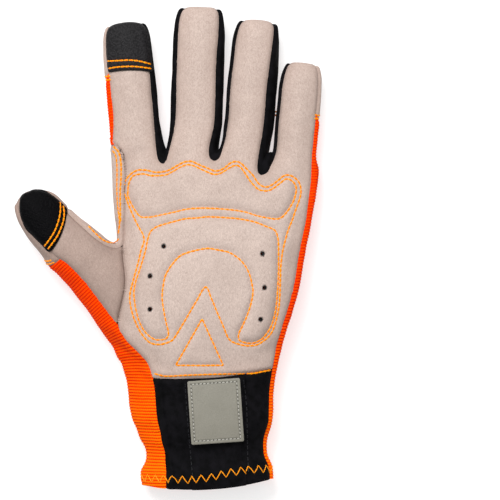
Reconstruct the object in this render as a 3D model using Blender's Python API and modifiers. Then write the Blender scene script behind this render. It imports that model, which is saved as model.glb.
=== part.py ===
"""A left-hand rose pruning glove, lying palm up on the back of the hand.

The glove is one skin, cut at its seams into the panels that a glove maker sews: a suede palm and
thumb, a ribbed knit back, stretch gussets between the fingers, suede caps over the fingertips, a
patch round the thumb crotch and a black wrist panel. Tip patches, a wrist strip and a label are
sewn on top. The skin is a coarse cage with a Subdivision Surface, and each panel is the piece of
that skin between its seams, given its own wall.

Metres. +X is the little finger's side, +Y runs along the fingers, +Z is up out of the palm. The
origin is on the flat that the glove rests on, at the middle of the back of the hand.
"""

import math
from collections import namedtuple

import bmesh
import bpy
import numpy as np
from mathutils import Matrix, Vector
from mathutils.bvhtree import BVHTree

# Palm and cuff
PALM_LENGTH = 0.1086  # cuff seam to the line of the finger crotches
PALM_WIDTH = 0.1055  # across the knuckles
PALM_DEPTH = 0.031  # front to back at the ball of the thumb
REST_TO_CUFF_SEAM = 0.0508  # from the resting flat's middle down to the cuff seam
CUFF_LENGTH = 0.0578  # cuff seam to hem
CUFF_WIDTH = 0.0746
CUFF_DEPTH = 0.026
REST_SINK = 0.0016  # how far the soft back would hang below the surface it flattens on

# Walls and seams
SUEDE_WALL = 0.0012
KNIT_WALL = 0.0014
GUSSET_WALL = 0.0011
CUFF_WALL = 0.0016
PATCH_WALL = 0.0010
STRIP_WALL = 0.0012
LABEL_WALL = 0.0016
SEAM_GAP = 0.0003

# Fingertips
CAP_LENGTH = 0.0272  # suede cap, measured from the fingertip
CAP_LAG = 0.0035  # the cap reaches this much further down the back than the patch on the front
THUMB_PATCH_LENGTH = 0.0270  # grip patch on the thumb's front, measured from its tip

# Label and vent holes
LABEL_WIDTH = 0.0275
LABEL_HEIGHT = 0.0333
LABEL_LEAN = math.radians(3.8)
LABEL_BELOW_SEAM = 0.0022
VENT_RADIUS = 0.0010
VENT_SIDES = 10

SKIN_LEVELS = 1
FIT_ROUNDS = 12
FINGERS = ("index", "middle", "ring", "little")
COLUMNS = 3 * len(FINGERS)  # each finger has a left corner, a middle and a right corner

# Body rows, from the hem to the knuckles. "along" is a share of the cuff's or the palm's length from
# the cuff seam; edges and seams are shares of its width from the glove's centre line, and depth of
# its depth. "rise" lifts the row's little-finger end and "bow" drops its middle, as shares of width.
BodyRow = namedtuple("BodyRow", "along thumb_edge thumb_seam little_seam little_edge depth rise bow")
CUFF_ROWS = (
    BodyRow(-1.000, -0.368, -0.204, 0.532, 0.545, 0.92, 0.048, 0.046),
    BodyRow(-0.855, -0.376, -0.201, 0.516, 0.527, 0.96, 0.050, 0.040),
    BodyRow(-0.715, -0.343, -0.214, 0.483, 0.496, 0.86, 0.065, 0.020),
    BodyRow(-0.440, -0.428, -0.253, 0.524, 0.543, 1.02, 0.050, 0.030),
    BodyRow(-0.215, -0.463, -0.277, 0.526, 0.541, 1.00, 0.048, 0.040),
    BodyRow(0.000, -0.487, -0.296, 0.550, 0.572, 1.06, 0.048, 0.042),
)
PALM_ROWS = (
    BodyRow(0.095, -0.394, -0.274, 0.406, 0.423, 0.93, 0.020, 0.010),
    BodyRow(0.227, -0.486, -0.383, 0.438, 0.459, 1.00, 0.000, 0.000),
    BodyRow(0.419, -0.500, -0.341, 0.493, 0.515, 1.00, 0.000, 0.000),
    BodyRow(0.613, -0.386, -0.363, 0.528, 0.549, 0.94, 0.000, 0.000),
    BodyRow(0.726, -0.394, -0.356, 0.552, 0.570, 0.87, 0.000, 0.000),
    BodyRow(0.829, -0.408, -0.355, 0.566, 0.593, 0.81, 0.000, 0.000),
)
SEAM_ROW = len(CUFF_ROWS) - 1
THUMB_LOW_ROW = SEAM_ROW + 2
THUMB_HIGH_ROW = SEAM_ROW + 4
ROOT_ROW = SEAM_ROW + len(PALM_ROWS) + 1
ROOT_DEPTH = 0.70  # share of the palm's depth where the fingers leave it
PARTING = 0.46  # height of the glove's widest line, as a share of the row's depth

# Fingers. Base and tip are shares of the palm's width from the centre line; reach is a finger's
# length beyond its base, and base_along the base as a share of the palm's length. The insets are
# how far the palm's seam lies in from each edge, as shares of the half width.
Finger = namedtuple("Finger", "base tip base_along reach width depth lift thumb_inset little_inset")
FINGER_SHAPES = {
    "index": Finger(-0.279, -0.347, 1.000, 0.0748, 0.0257, 0.0170, 0.0050, 0.11, 0.20),
    "middle": Finger(-0.002, 0.028, 1.016, 0.0815, 0.0272, 0.0176, 0.0030, 0.17, 0.30),
    "ring": Finger(0.252, 0.317, 1.000, 0.0764, 0.0252, 0.0170, 0.0040, 0.08, 0.40),
    "little": Finger(0.484, 0.538, 0.933, 0.0615, 0.0218, 0.0154, 0.0050, 0.08, 0.13),
}
# Sections up a finger. Those under the cap are shares of the way to the cap's edge, those in the
# cap shares of the cap. Width, depth and inset are shares of the finger's own: the palm's suede
# widens towards the tip, where its seams come out to the edges.
Section = namedtuple("Section", "along width depth inset")
SHAFT_SECTIONS = (Section(0.36, 1.01, 1.03, 1.00), Section(0.68, 1.01, 1.00, 1.00))
CAP_SECTIONS = (
    Section(0.000, 1.00, 0.98, 0.95),
    Section(0.500, 0.97, 0.90, 0.75),
    Section(0.860, 0.84, 0.68, 0.45),
    Section(0.965, 0.62, 0.40, 0.35),
)
NARROWEST_INSET = 0.11  # a seam comes no nearer to the edge than this on its way out

# Finger crotches. "across" is the gusset's middle as a share of the palm's width, the three heights
# shares of the palm's length, for its tip on the palm, the bottom of the gap and its tip on the back.
# The widths are shares of the palm's width, and so is "lean", by which the bottom of the gap stands
# nearer to the little finger than the gusset's tip on the palm. The tip on the back leans half as far.
Crotch = namedtuple("Crotch", "across front saddle back front_width gap back_width lean")
CROTCHES = (
    Crotch(-0.162, 1.026, 1.081, 0.922, 0.046, 0.020, 0.080, 0.026),
    Crotch(0.098, 1.041, 1.080, 0.953, 0.056, 0.018, 0.085, 0.030),
    Crotch(0.338, 0.966, 1.064, 0.892, 0.054, 0.018, 0.074, 0.034),
)
# Heights of the finger roots' middles and of the two outer corners, as shares of the palm's length.
ROOT_MIDDLES = (1.041, 1.050, 1.031, 0.961)
ROOT_THUMB_SEAM, ROOT_THUMB_EDGE = (-0.385, 1.070), (-0.419, 1.098)
ROOT_LITTLE_SEAM, ROOT_LITTLE_EDGE = (0.580, 0.928), (0.616, 0.965)

# Thumb: base and tip as shares of the palm's width and length. Its shaft's sections are shares of its
# reach, the last of them where the cap starts, and the tip's are shares of the grip patch. "skew"
# moves a section's crotch side towards the tip, "seam_slide" its front seam towards the wrist and
# "aside" its middle towards the crotch, as shares of the width.
THUMB_BASE = (-0.469, 0.449)
THUMB_TIP = (-0.857, 0.853)
THUMB_WIDTH = 0.0262
THUMB_DEPTH = 0.0215
THUMB_HEIGHT = 0.0165  # of its centre line at the first section
THUMB_LIFT = 0.0045
ThumbSection = namedtuple("ThumbSection", "along width depth palm_inset crotch_inset skew seam_slide aside")
THUMB_SHAFT = (
    ThumbSection(0.220, 1.19, 1.14, 0.50, 0.20, 0.10, 0.06, 0.04),
    ThumbSection(0.435, 1.14, 1.07, 0.46, 0.13, 0.10, 0.12, -0.03),
)
THUMB_TIP_SECTIONS = (
    ThumbSection(0.000, 1.04, 1.00, 0.36, 0.10, 0.20, 0.00, -0.03),
    ThumbSection(0.520, 0.94, 0.90, 0.26, 0.10, 0.08, 0.00, 0.00),
    ThumbSection(0.860, 0.62, 0.66, 0.18, 0.12, 0.00, 0.00, 0.00),
    ThumbSection(0.965, 0.37, 0.36, 0.18, 0.12, 0.00, 0.00, 0.00),
)

# Folds pressed into the skin: ends as shares of the palm's width and length from the centre line and
# the cuff seam, depth and half width as shares of the palm's depth, and the side they are on.
Fold = namedtuple("Fold", "start end depth half_width front")
FOLDS = (
    Fold((-0.420, 0.120), (-0.280, 0.027), 0.085, 0.16, True),
    Fold((-0.385, 0.001), (-0.265, -0.066), 0.060, 0.14, True),
    Fold((-0.430, 0.151), (-0.100, -0.014), 0.070, 0.22, False),
)

# Vent holes in the palm, as shares of the palm's width and length.
VENTS = (
    (-0.154, 0.609), (-0.219, 0.463), (-0.219, 0.303),
    (0.333, 0.574), (0.347, 0.410), (0.328, 0.255),
)

# The wrist strip: the columns that it lies between, and where they stand across the cuff panel.
STRIP_COLUMNS = (3, 8)
STRIP_SHARES = (0.247, 0.769)

WALLS = {
    "palm_panel": SUEDE_WALL, "thumb_panel": SUEDE_WALL, "crotch_patch": SUEDE_WALL,
    "back_panel": KNIT_WALL, "cuff_panel": CUFF_WALL,
    "gusset_index_middle": GUSSET_WALL, "gusset_middle_ring": GUSSET_WALL,
    "gusset_ring_little": GUSSET_WALL,
    "index_cap": SUEDE_WALL, "middle_cap": SUEDE_WALL, "ring_cap": SUEDE_WALL,
    "little_cap": SUEDE_WALL, "thumb_cap": SUEDE_WALL,
}
PANELS = tuple(WALLS)
PATCH_WALLS = {
    "wrist_strip": STRIP_WALL, "index_tip_patch": PATCH_WALL, "thumb_tip_patch": PATCH_WALL,
}
PATCHES = tuple(PATCH_WALLS)
GUSSETS = ("gusset_index_middle", "gusset_middle_ring", "gusset_ring_little")

FINISHES = {
    "suede": ((0.60, 0.50, 0.45), 0.92),
    "knit": ((0.95, 0.13, 0.01), 0.75),
    "stretch": ((0.012, 0.012, 0.014), 0.85),
    "grip": ((0.02, 0.02, 0.021), 0.55),
    "rubber": ((0.36, 0.36, 0.31), 0.6),
}


def finish_of(name):
    if name == "back_panel":
        return "knit"
    if name == "label":
        return "rubber"
    if name.endswith("tip_patch"):
        return "grip"
    if name in GUSSETS or name in ("cuff_panel", "wrist_strip"):
        return "stretch"
    return "suede"


def material(finish):
    """The finish's material, made the first time it is asked for."""
    made = bpy.data.materials.get(finish)
    if made:
        return made
    colour, roughness = FINISHES[finish]
    made = bpy.data.materials.new(finish)
    made.use_nodes = True
    shader = made.node_tree.nodes["Principled BSDF"]
    shader.inputs["Base Color"].default_value = (*colour, 1.0)
    shader.inputs["Roughness"].default_value = roughness
    shader.inputs["Metallic"].default_value = 0.0
    return made


def crown(across, power):
    """How full a section is at this share of its half width: 1 in the middle, 0 at the edge."""
    return max(0.0, 1.0 - min(1.0, abs(across)) ** power) ** (1.0 / power)


def front_height(across, depth):
    middle = PARTING * depth
    return middle + (depth - middle) * crown(across, 2.6)


def back_height(across, depth):
    middle = PARTING * depth
    return middle - (middle + REST_SINK) * crown(across, 3.4)


class Cage:
    """Points and four-sided faces of the coarse skin. Each face has the panel it belongs to, and the
    patch that is sewn on top of it, if there is one."""

    def __init__(self):
        self.points = []
        self.faces = []
        self.panels = []
        self.patches = []

    def point(self, x, y, z):
        self.points.append((x, y, z))
        return len(self.points) - 1

    def face(self, panel, *corners, patch=None):
        self.faces.append(corners)
        self.panels.append(PANELS.index(panel))
        self.patches.append(PATCHES.index(patch) if patch else -1)


def column_shares():
    """Where each column stands between the two seams of the knuckle row."""
    low, high = ROOT_THUMB_SEAM[0], ROOT_LITTLE_SEAM[0]
    edges = [low]
    for crotch in CROTCHES:
        edges += [crotch.across - crotch.front_width / 2, crotch.across + crotch.front_width / 2]
    edges.append(high)
    places = []
    for finger in range(len(FINGERS)):
        left, right = edges[2 * finger], edges[2 * finger + 1]
        places += [left, (left + right) / 2, right]
    return [(place - low) / (high - low) for place in places]


def body_rows():
    """The rows in metres, with the length, width and depth that each one's shares follow."""
    for row in CUFF_ROWS:
        yield row, CUFF_LENGTH, CUFF_WIDTH, CUFF_DEPTH
    for row in PALM_ROWS:
        yield row, PALM_LENGTH, PALM_WIDTH, PALM_DEPTH


def add_body(cage):
    """Adds the rows of the cuff and palm, and returns each row's front, back, thumb and little side points."""
    cuff_shares = np.interp(range(COLUMNS), (0, *STRIP_COLUMNS, COLUMNS - 1), (0.0, *STRIP_SHARES, 1.0))
    knuckle_shares = column_shares()
    rows = []
    for number, (row, length, width, depth_size) in enumerate(body_rows()):
        depth = row.depth * depth_size
        thumb_edge, little_edge = row.thumb_edge * width, row.little_edge * width
        middle, half = (thumb_edge + little_edge) / 2, (little_edge - thumb_edge) / 2
        knuckly = max(0, number - SEAM_ROW) / (ROOT_ROW - SEAM_ROW)

        def height_along(x):
            across = (x - middle) / half
            return (row.along * length - REST_TO_CUFF_SEAM + row.rise * width * across / 2
                    - row.bow * width * (1.0 - across * across))

        front, back = [], []
        for column in range(COLUMNS):
            share = cuff_shares[column] * (1.0 - knuckly) + knuckle_shares[column] * knuckly
            x = width * (row.thumb_seam + (row.little_seam - row.thumb_seam) * share)
            front.append(cage.point(x, height_along(x), front_height((x - middle) / half, depth)))
            x = middle + half * 0.82 * (2.0 * share - 1.0)
            back.append(cage.point(x, height_along(x), back_height((x - middle) / half, depth)))
        side_height = PARTING * depth
        between_thumb_rows = THUMB_LOW_ROW < number < THUMB_HIGH_ROW
        thumb_side = None
        if not between_thumb_rows:
            thumb_side = cage.point(thumb_edge, height_along(thumb_edge), side_height)
        little_side = cage.point(little_edge, height_along(little_edge), side_height)
        rows.append((front, back, thumb_side, little_side))
    return rows


def root_row(cage):
    """The row where the fingers leave the palm, with the two saddle points of each crotch."""
    depth = ROOT_DEPTH * PALM_DEPTH
    middle = PALM_WIDTH * (ROOT_THUMB_EDGE[0] + ROOT_LITTLE_EDGE[0]) / 2
    half = PALM_WIDTH * (ROOT_LITTLE_EDGE[0] - ROOT_THUMB_EDGE[0]) / 2

    def place(share, along, height):
        x = share * PALM_WIDTH
        return cage.point(x, along * PALM_LENGTH - REST_TO_CUFF_SEAM, height((x - middle) / half, depth))

    def side(share, along):
        return cage.point(share * PALM_WIDTH, along * PALM_LENGTH - REST_TO_CUFF_SEAM, PARTING * depth)

    front_corners = [ROOT_THUMB_SEAM]
    back_corners = [(ROOT_THUMB_EDGE[0] + 0.045, ROOT_THUMB_SEAM[1])]
    saddles = []
    for crotch in CROTCHES:
        for sign in (-1, 1):
            front_corners.append((crotch.across + sign * crotch.front_width / 2, crotch.front))
            back_corners.append((crotch.across + crotch.lean / 2 + sign * crotch.back_width / 2, crotch.back))
            saddles.append(side(crotch.across + crotch.lean + sign * crotch.gap / 2, crotch.saddle))
    front_corners.append(ROOT_LITTLE_SEAM)
    back_corners.append((ROOT_LITTLE_EDGE[0] - 0.045, ROOT_LITTLE_SEAM[1]))
    front, back = [], []
    for finger, along in enumerate(ROOT_MIDDLES):
        for corners, height, points in (
            (front_corners, front_height, front), (back_corners, back_height, back)
        ):
            left, right = corners[2 * finger], corners[2 * finger + 1]
            points.append(place(*left, height))
            points.append(place((left[0] + right[0]) / 2, along, height))
            points.append(place(*right, height))
    thumb_side, little_side = side(*ROOT_THUMB_EDGE), side(*ROOT_LITTLE_EDGE)
    return (front, back, thumb_side, little_side), saddles


def ring(cage, centre, direction, width, depth, insets, shifts=(0.0, 0.0, 0.0)):
    """Eight points round a finger: palm left, middle, right, right side, back right, middle, left, left side.

    insets are the palm seams' distances from the left and right edges, as shares of the half width.
    shifts slide the left side, the back and the left palm seam along the finger.
    """
    right = Vector((direction.y, -direction.x, 0.0))
    left_seam, right_seam = insets[0] - 1.0, 1.0 - insets[1]
    back_edge = 0.74
    places = (
        (left_seam, 1), (0.5 * (left_seam + right_seam), 1), (right_seam, 1), (1.0, 0),
        (back_edge, -1), (0.0, -1), (-back_edge, -1), (-1.0, 0),
    )
    points = []
    for across, side in places:
        slide = -shifts[0] * across + (shifts[1] if side <= 0 else 0.0)
        if not points:
            slide += shifts[2]
        spot = centre + right * (across * width / 2) - direction * slide
        spot = spot + Vector((0.0, 0.0, side * depth / 2 * crown(across, 2.3)))
        points.append(cage.point(*spot))
    return points


def join_rings(cage, low, high, panels, patch=None):
    """Closes the eight faces between two rings. panels names the panel of each of them, and the patch
    lies on the first two, which face out of the palm."""
    for i, panel in enumerate(panels):
        following = (i + 1) % len(low)
        cage.face(panel, low[i], low[following], high[following], high[i], patch=patch if i < 2 else None)


def close_tip(cage, last, tip, front_panel, back_panel, patch=None):
    palm_left, palm_middle, palm_right, right, back_right, back_middle, back_left, left = last
    cage.face(front_panel, palm_left, palm_middle, tip, left, patch=patch)
    cage.face(front_panel, palm_middle, palm_right, right, tip, patch=patch)
    cage.face(back_panel, right, back_right, back_middle, tip)
    cage.face(back_panel, back_middle, back_left, left, tip)


def tapered(inset, share):
    return min(inset, max(NARROWEST_INSET, inset * share))


def add_finger(cage, number, root):
    """Adds one finger above its root ring, sewn from palm, cap, back and its two sides."""
    name = FINGERS[number]
    shape = FINGER_SHAPES[name]
    rise = shape.base_along * PALM_LENGTH - REST_TO_CUFF_SEAM
    base = Vector((shape.base * PALM_WIDTH, rise, 0.0))
    tip_x = shape.tip * PALM_WIDTH
    tip_y = rise + math.sqrt(max(0.0, shape.reach**2 - (tip_x - base.x) ** 2))
    axis = (Vector((tip_x, tip_y, 0.0)) - base).normalized()
    root_middle = PARTING * ROOT_DEPTH * PALM_DEPTH

    cap = name + "_cap"
    patch = "index_tip_patch" if name == "index" else None
    left_side = GUSSETS[number - 1] if number > 0 else None
    right_side = GUSSETS[number] if number < len(GUSSETS) else None
    shaft = shape.reach - CAP_LENGTH
    stations = [(section, section.along * shaft, 0.0) for section in SHAFT_SECTIONS]
    stations += [(section, shaft + section.along * CAP_LENGTH, CAP_LAG * (section.along == 0))
                 for section in CAP_SECTIONS]
    low = root
    for section, distance, lag in stations:
        climb = distance / shape.reach
        centre = base + axis * distance
        centre.z = root_middle + (shape.depth / 2 - root_middle) * climb + shape.lift * climb * climb
        high = ring(cage, centre, axis, shape.width * section.width, shape.depth * section.depth,
                    (tapered(shape.thumb_inset, section.inset), tapered(shape.little_inset, section.inset)),
                    (0.0, lag, 0.0))
        capped = distance > shaft
        behind = cap if capped else "back_panel"
        left, right = left_side or behind, right_side or behind
        join_rings(cage, low, high,
                   ("palm_panel", "palm_panel", right, right, behind, behind, left, left),
                   patch if capped else None)
        low = high
    top = base + axis * shape.reach
    tip = cage.point(top.x, top.y, centre.z)
    close_tip(cage, low, tip, "palm_panel", cap, patch)


def add_thumb(cage, root):
    """Adds the thumb on the ring that the palm leaves open. Its left is the wrist side."""

    def spot(shares):
        return Vector((shares[0] * PALM_WIDTH, shares[1] * PALM_LENGTH - REST_TO_CUFF_SEAM, 0.0))

    base, end = spot(THUMB_BASE), spot(THUMB_TIP)
    reach = (end - base).length
    axis = (end - base) / reach
    shaft = reach - THUMB_PATCH_LENGTH
    stations = [(section, section.along * reach) for section in THUMB_SHAFT]
    stations += [(section, shaft + section.along * THUMB_PATCH_LENGTH) for section in THUMB_TIP_SECTIONS]
    cap_start = THUMB_SHAFT[-1].along * reach
    low = root
    for section, distance in stations:
        climb = distance / reach
        centre = base + axis * distance + Vector((axis.y, -axis.x, 0.0)) * (section.aside * THUMB_WIDTH)
        centre.z = THUMB_HEIGHT + THUMB_LIFT * climb
        high = ring(cage, centre, axis, THUMB_WIDTH * section.width, THUMB_DEPTH * section.depth,
                    (section.palm_inset, section.crotch_inset),
                    (section.skew * THUMB_WIDTH, 0.0, section.seam_slide * THUMB_WIDTH))
        behind = "thumb_cap" if distance > cap_start else "back_panel"
        crotch, patch = "crotch_patch", None
        if distance > shaft:
            crotch, patch = "thumb_cap", "thumb_tip_patch"
        join_rings(cage, low, high, ("thumb_panel", "thumb_panel", crotch, crotch,
                                     behind, behind, behind, behind), patch)
        low = high
    tip = cage.point(end.x, end.y, centre.z)
    close_tip(cage, low, tip, "thumb_panel", "thumb_cap", patch)


def join_rows(cage, rows):
    """Closes the body between its rows, leaving the thumb's ring open."""
    for number, (low, high) in enumerate(zip(rows, rows[1:])):
        front, back, thumb_side, little_side = low
        next_front, next_back, next_thumb, next_little = high
        facing = "cuff_panel" if number < SEAM_ROW else "palm_panel"
        for c in range(COLUMNS - 1):
            strip = number < SEAM_ROW and STRIP_COLUMNS[0] <= c < STRIP_COLUMNS[1]
            cage.face(facing, front[c], front[c + 1], next_front[c + 1], next_front[c],
                      patch="wrist_strip" if strip else None)
            cage.face("back_panel", back[c + 1], back[c], next_back[c], next_back[c + 1])
        last = COLUMNS - 1
        cage.face("back_panel", front[last], little_side, next_little, next_front[last])
        cage.face("back_panel", little_side, back[last], next_back[last], next_little)
        if THUMB_LOW_ROW <= number < THUMB_HIGH_ROW:
            continue
        edge = "crotch_patch" if number >= THUMB_HIGH_ROW else "back_panel"
        cage.face(edge, thumb_side, front[0], next_front[0], next_thumb)
        cage.face(edge, back[0], thumb_side, next_thumb, next_back[0])


def make_cage():
    cage = Cage()
    rows = add_body(cage)
    top, saddles = root_row(cage)
    rows.append(top)
    join_rows(cage, rows)
    front, back, thumb_side, little_side = top
    for number in range(len(CROTCHES)):
        left, right = saddles[2 * number], saddles[2 * number + 1]
        c = 3 * number + 2
        cage.face(GUSSETS[number], front[c], front[c + 1], right, left)
        cage.face(GUSSETS[number], back[c + 1], back[c], left, right)
    sides = [thumb_side, *saddles, little_side]
    for number in range(len(FINGERS)):
        c = 3 * number
        add_finger(cage, number, [front[c], front[c + 1], front[c + 2], sides[2 * number + 1],
                                  back[c + 2], back[c + 1], back[c], sides[2 * number]])
    low, middle, high = (rows[THUMB_LOW_ROW + step] for step in range(3))
    add_thumb(cage, [low[0][0], middle[0][0], high[0][0], high[2],
                     high[1][0], middle[1][0], low[1][0], low[2]])
    return cage


def evaluated_points(form):
    """The corners' places on the subdivided skin, and the whole skin's mesh."""
    bpy.context.view_layer.update()
    mesh = form.evaluated_get(bpy.context.evaluated_depsgraph_get()).data
    points = np.empty(len(mesh.vertices) * 3)
    mesh.vertices.foreach_get("co", points)
    return points.reshape(-1, 3), mesh


def make_form(cage, guides):
    """The cage as an object with a Subdivision Surface, its corners moved out until the smooth skin
    passes through the places they were given."""
    mesh = bpy.data.meshes.new("glove_form")
    mesh.from_pydata(cage.points, [], cage.faces)
    for panel in PANELS:
        mesh.materials.append(material(finish_of(panel)))
    mesh.polygons.foreach_set("material_index", cage.panels)
    mesh.attributes.new("patch", "INT", "FACE").data.foreach_set("value", cage.patches)
    form = bpy.data.objects.new("glove_form", mesh)
    guides.objects.link(form)
    smooth = form.modifiers.new("smooth", "SUBSURF")
    smooth.levels = smooth.render_levels = SKIN_LEVELS
    wanted = np.array(cage.points)
    corners = wanted.copy()
    for _ in range(FIT_ROUNDS):
        mesh.vertices.foreach_set("co", corners.ravel())
        mesh.update()
        reached, _ = evaluated_points(form)
        corners += 0.8 * (wanted - reached[: len(wanted)])
    form.hide_render = True
    form.display_type = "WIRE"
    return form


def press_folds(points, normals):
    """Pushes the folds into the skin."""
    for fold in FOLDS:
        start, end = (np.array((x * PALM_WIDTH, y * PALM_LENGTH - REST_TO_CUFF_SEAM))
                      for x, y in (fold.start, fold.end))
        run = end - start
        share = np.clip((points[:, :2] - start) @ run / (run @ run), 0.0, 1.0)
        away = np.linalg.norm(points[:, :2] - start - share[:, None] * run, axis=1)
        depth = fold.depth * PALM_DEPTH * np.exp(-((away / (fold.half_width * PALM_DEPTH)) ** 2))
        facing = np.clip(normals[:, 2] if fold.front else -normals[:, 2], 0.0, 1.0)
        points -= normals * (depth * np.sqrt(facing))[:, None]
    return points


class Skin:
    """The glove's smooth outer surface: points, shared normals, faces and each face's panel."""

    def __init__(self, form):
        points, mesh = evaluated_points(form)
        self.faces = [tuple(face.vertices) for face in mesh.polygons]
        self.panels = [face.material_index for face in mesh.polygons]
        self.patches = [value.value for value in mesh.attributes["patch"].data]
        self.points = press_folds(points, self.normals_of(points)[0])
        self.points[:, 2] = np.maximum(self.points[:, 2], 0.0)
        self.normals, self.stretch = self.normals_of(self.points)

    def normals_of(self, points):
        """Each point's normal, and how much longer than the wall its way through the wall is."""
        normals = np.zeros_like(points)
        corners = points[np.array(self.faces)]
        flat = np.cross(corners[:, 2] - corners[:, 0], corners[:, 3] - corners[:, 1])
        flat /= np.linalg.norm(flat, axis=1)[:, None]
        for corner in range(4):
            before, here, after = corners[:, corner - 1], corners[:, corner], corners[:, (corner + 1) % 4]
            a, b = before - here, after - here
            cosine = np.sum(a * b, axis=1) / (np.linalg.norm(a, axis=1) * np.linalg.norm(b, axis=1))
            weight = np.arccos(np.clip(cosine, -1.0, 1.0))
            np.add.at(normals, [face[corner] for face in self.faces], flat * weight[:, None])
        normals /= np.linalg.norm(normals, axis=1)[:, None]
        facing, count = np.zeros(len(points)), np.zeros(len(points))
        for corner in range(4):
            index = [face[corner] for face in self.faces]
            np.add.at(facing, index, np.sum(normals[index] * flat, axis=1))
            np.add.at(count, index, 1.0)
        return normals, 1.0 / np.maximum(facing / count, 0.7)

    def faces_of(self, name):
        """The faces of a panel, or those that a patch is sewn on."""
        names, own = (PANELS, self.panels) if name in PANELS else (PATCHES, self.patches)
        return [face for face, number in zip(self.faces, own) if number == names.index(name)]


def seam_draws(skin, faces):
    """The directed edges round a panel, and how far each point on them moves in to leave the seam gap."""
    owner = {}
    for face in faces:
        for edge in zip(face, face[1:] + face[:1]):
            owner[edge] = face
    border = [edge for edge in owner if (edge[1], edge[0]) not in owner]
    inward = {}
    for a, b in border:
        along = skin.points[b] - skin.points[a]
        across = [np.cross(skin.normals[end], along) for end in (a, b)]
        for end, way in zip((a, b), across):
            inward.setdefault(end, []).append(way / np.linalg.norm(way))
    draws = {}
    for corner, ways in inward.items():
        total = np.sum(ways, axis=0)
        mitre = total / max(total @ ways[0], 0.35 * len(ways))
        draws[corner] = mitre * SEAM_GAP / 2
    return border, draws


def panel_object(name, skin, faces, outside, inside, parts):
    """A closed panel: the given faces of the skin between two heights over it, drawn in at the edges by
    half the seam gap."""
    border, draws = seam_draws(skin, faces)
    builder = bmesh.new()
    outer, inner = {}, {}
    for corner in sorted({corner for face in faces for corner in face}):
        spot = skin.points[corner] + draws.get(corner, 0.0)
        through = skin.normals[corner] * skin.stretch[corner]
        outer[corner] = builder.verts.new(spot + through * outside)
        inner[corner] = builder.verts.new(spot + through * inside)
    for face in faces:
        builder.faces.new([outer[corner] for corner in face])
        builder.faces.new([inner[corner] for corner in reversed(face)])
    for a, b in border:
        builder.faces.new([outer[b], outer[a], inner[a], inner[b]])
    return finished(name, builder, parts)


def finished(name, builder, parts):
    """The built mesh as a smooth-shaded object in the glove's collection."""
    mesh = bpy.data.meshes.new(name)
    builder.to_mesh(mesh)
    builder.free()
    mesh.materials.append(material(finish_of(name)))
    mesh.shade_smooth()
    mesh.set_sharp_from_angle(angle=math.radians(50))
    made = bpy.data.objects.new(name, mesh)
    parts.objects.link(made)
    return made


def cut_vents(palm, cutters):
    """Punches the vent holes through the palm."""
    for number, (across, along) in enumerate(VENTS):
        x, y = across * PALM_WIDTH, along * PALM_LENGTH - REST_TO_CUFF_SEAM
        bpy.ops.mesh.primitive_cylinder_add(
            vertices=VENT_SIDES, radius=VENT_RADIUS, depth=PALM_DEPTH / 2, location=(x, y, PALM_DEPTH)
        )
        cutter = bpy.context.object
        cutter.name = f"vent_cutter_{number + 1}"
        for collection in list(cutter.users_collection):
            collection.objects.unlink(cutter)
        cutters.objects.link(cutter)
        cutter.hide_render = True
        cutter.display_type = "WIRE"
        cut = palm.modifiers.new(f"vent_{number + 1}", "BOOLEAN")
        cut.operation = "DIFFERENCE"
        cut.object = cutter


def make_label(skin, strip, parts):
    """A thin plate that lies on the wrist strip and follows the skin's curve."""
    top = BVHTree.FromPolygons([Vector(point) for point in skin.points], skin.faces)
    steps = (6, 6)
    turn = Matrix.Rotation(LABEL_LEAN, 2)
    strip_points = [vertex.co for vertex in strip.data.vertices]
    middle_x = (min(p.x for p in strip_points) + max(p.x for p in strip_points)) / 2
    high = max(p.y for p in strip_points if abs(p.x - middle_x) < CUFF_WIDTH / 8)
    centre = Vector((middle_x, high - LABEL_BELOW_SEAM - LABEL_HEIGHT / 2))
    builder = bmesh.new()
    lower, upper = {}, {}
    for i in range(steps[0] + 1):
        for j in range(steps[1] + 1):
            flat = Vector(((i / steps[0] - 0.5) * LABEL_WIDTH, (j / steps[1] - 0.5) * LABEL_HEIGHT))
            x, y = centre + turn @ flat
            hit, normal, _, _ = top.ray_cast(Vector((x, y, 2 * PALM_DEPTH)), Vector((0, 0, -1)))
            below = (2 * SEAM_GAP + STRIP_WALL) / max(normal.z, 0.6)
            lower[i, j] = builder.verts.new((x, y, hit.z + below))
            upper[i, j] = builder.verts.new((x, y, hit.z + below + LABEL_WALL))
    border = []
    for i in range(steps[0]):
        for j in range(steps[1]):
            loop = ((i, j), (i + 1, j), (i + 1, j + 1), (i, j + 1))
            builder.faces.new([upper[key] for key in loop])
            builder.faces.new([lower[key] for key in reversed(loop)])
    for i in range(steps[0]):
        border += [((i, 0), (i + 1, 0)), ((i + 1, steps[1]), (i, steps[1]))]
    for j in range(steps[1]):
        border += [((steps[0], j), (steps[0], j + 1)), ((0, j + 1), (0, j))]
    for a, b in border:
        builder.faces.new([upper[b], upper[a], lower[a], lower[b]])
    return finished("label", builder, parts)


def main():
    for old in list(bpy.data.objects):
        bpy.data.objects.remove(old)
    parts = bpy.data.collections.new("pruning_glove")
    guides = bpy.data.collections.new("guides")
    for collection in (parts, guides):
        bpy.context.scene.collection.children.link(collection)
    form = make_form(make_cage(), guides)
    skin = Skin(form)
    panels = {}
    for panel, wall in WALLS.items():
        panels[panel] = panel_object(panel, skin, skin.faces_of(panel), 0.0, -wall, parts)
    cut_vents(panels["palm_panel"], guides)
    for patch, wall in PATCH_WALLS.items():
        panels[patch] = panel_object(patch, skin, skin.faces_of(patch), SEAM_GAP + wall, SEAM_GAP, parts)
    make_label(skin, panels["wrist_strip"], parts)


main()
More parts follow.
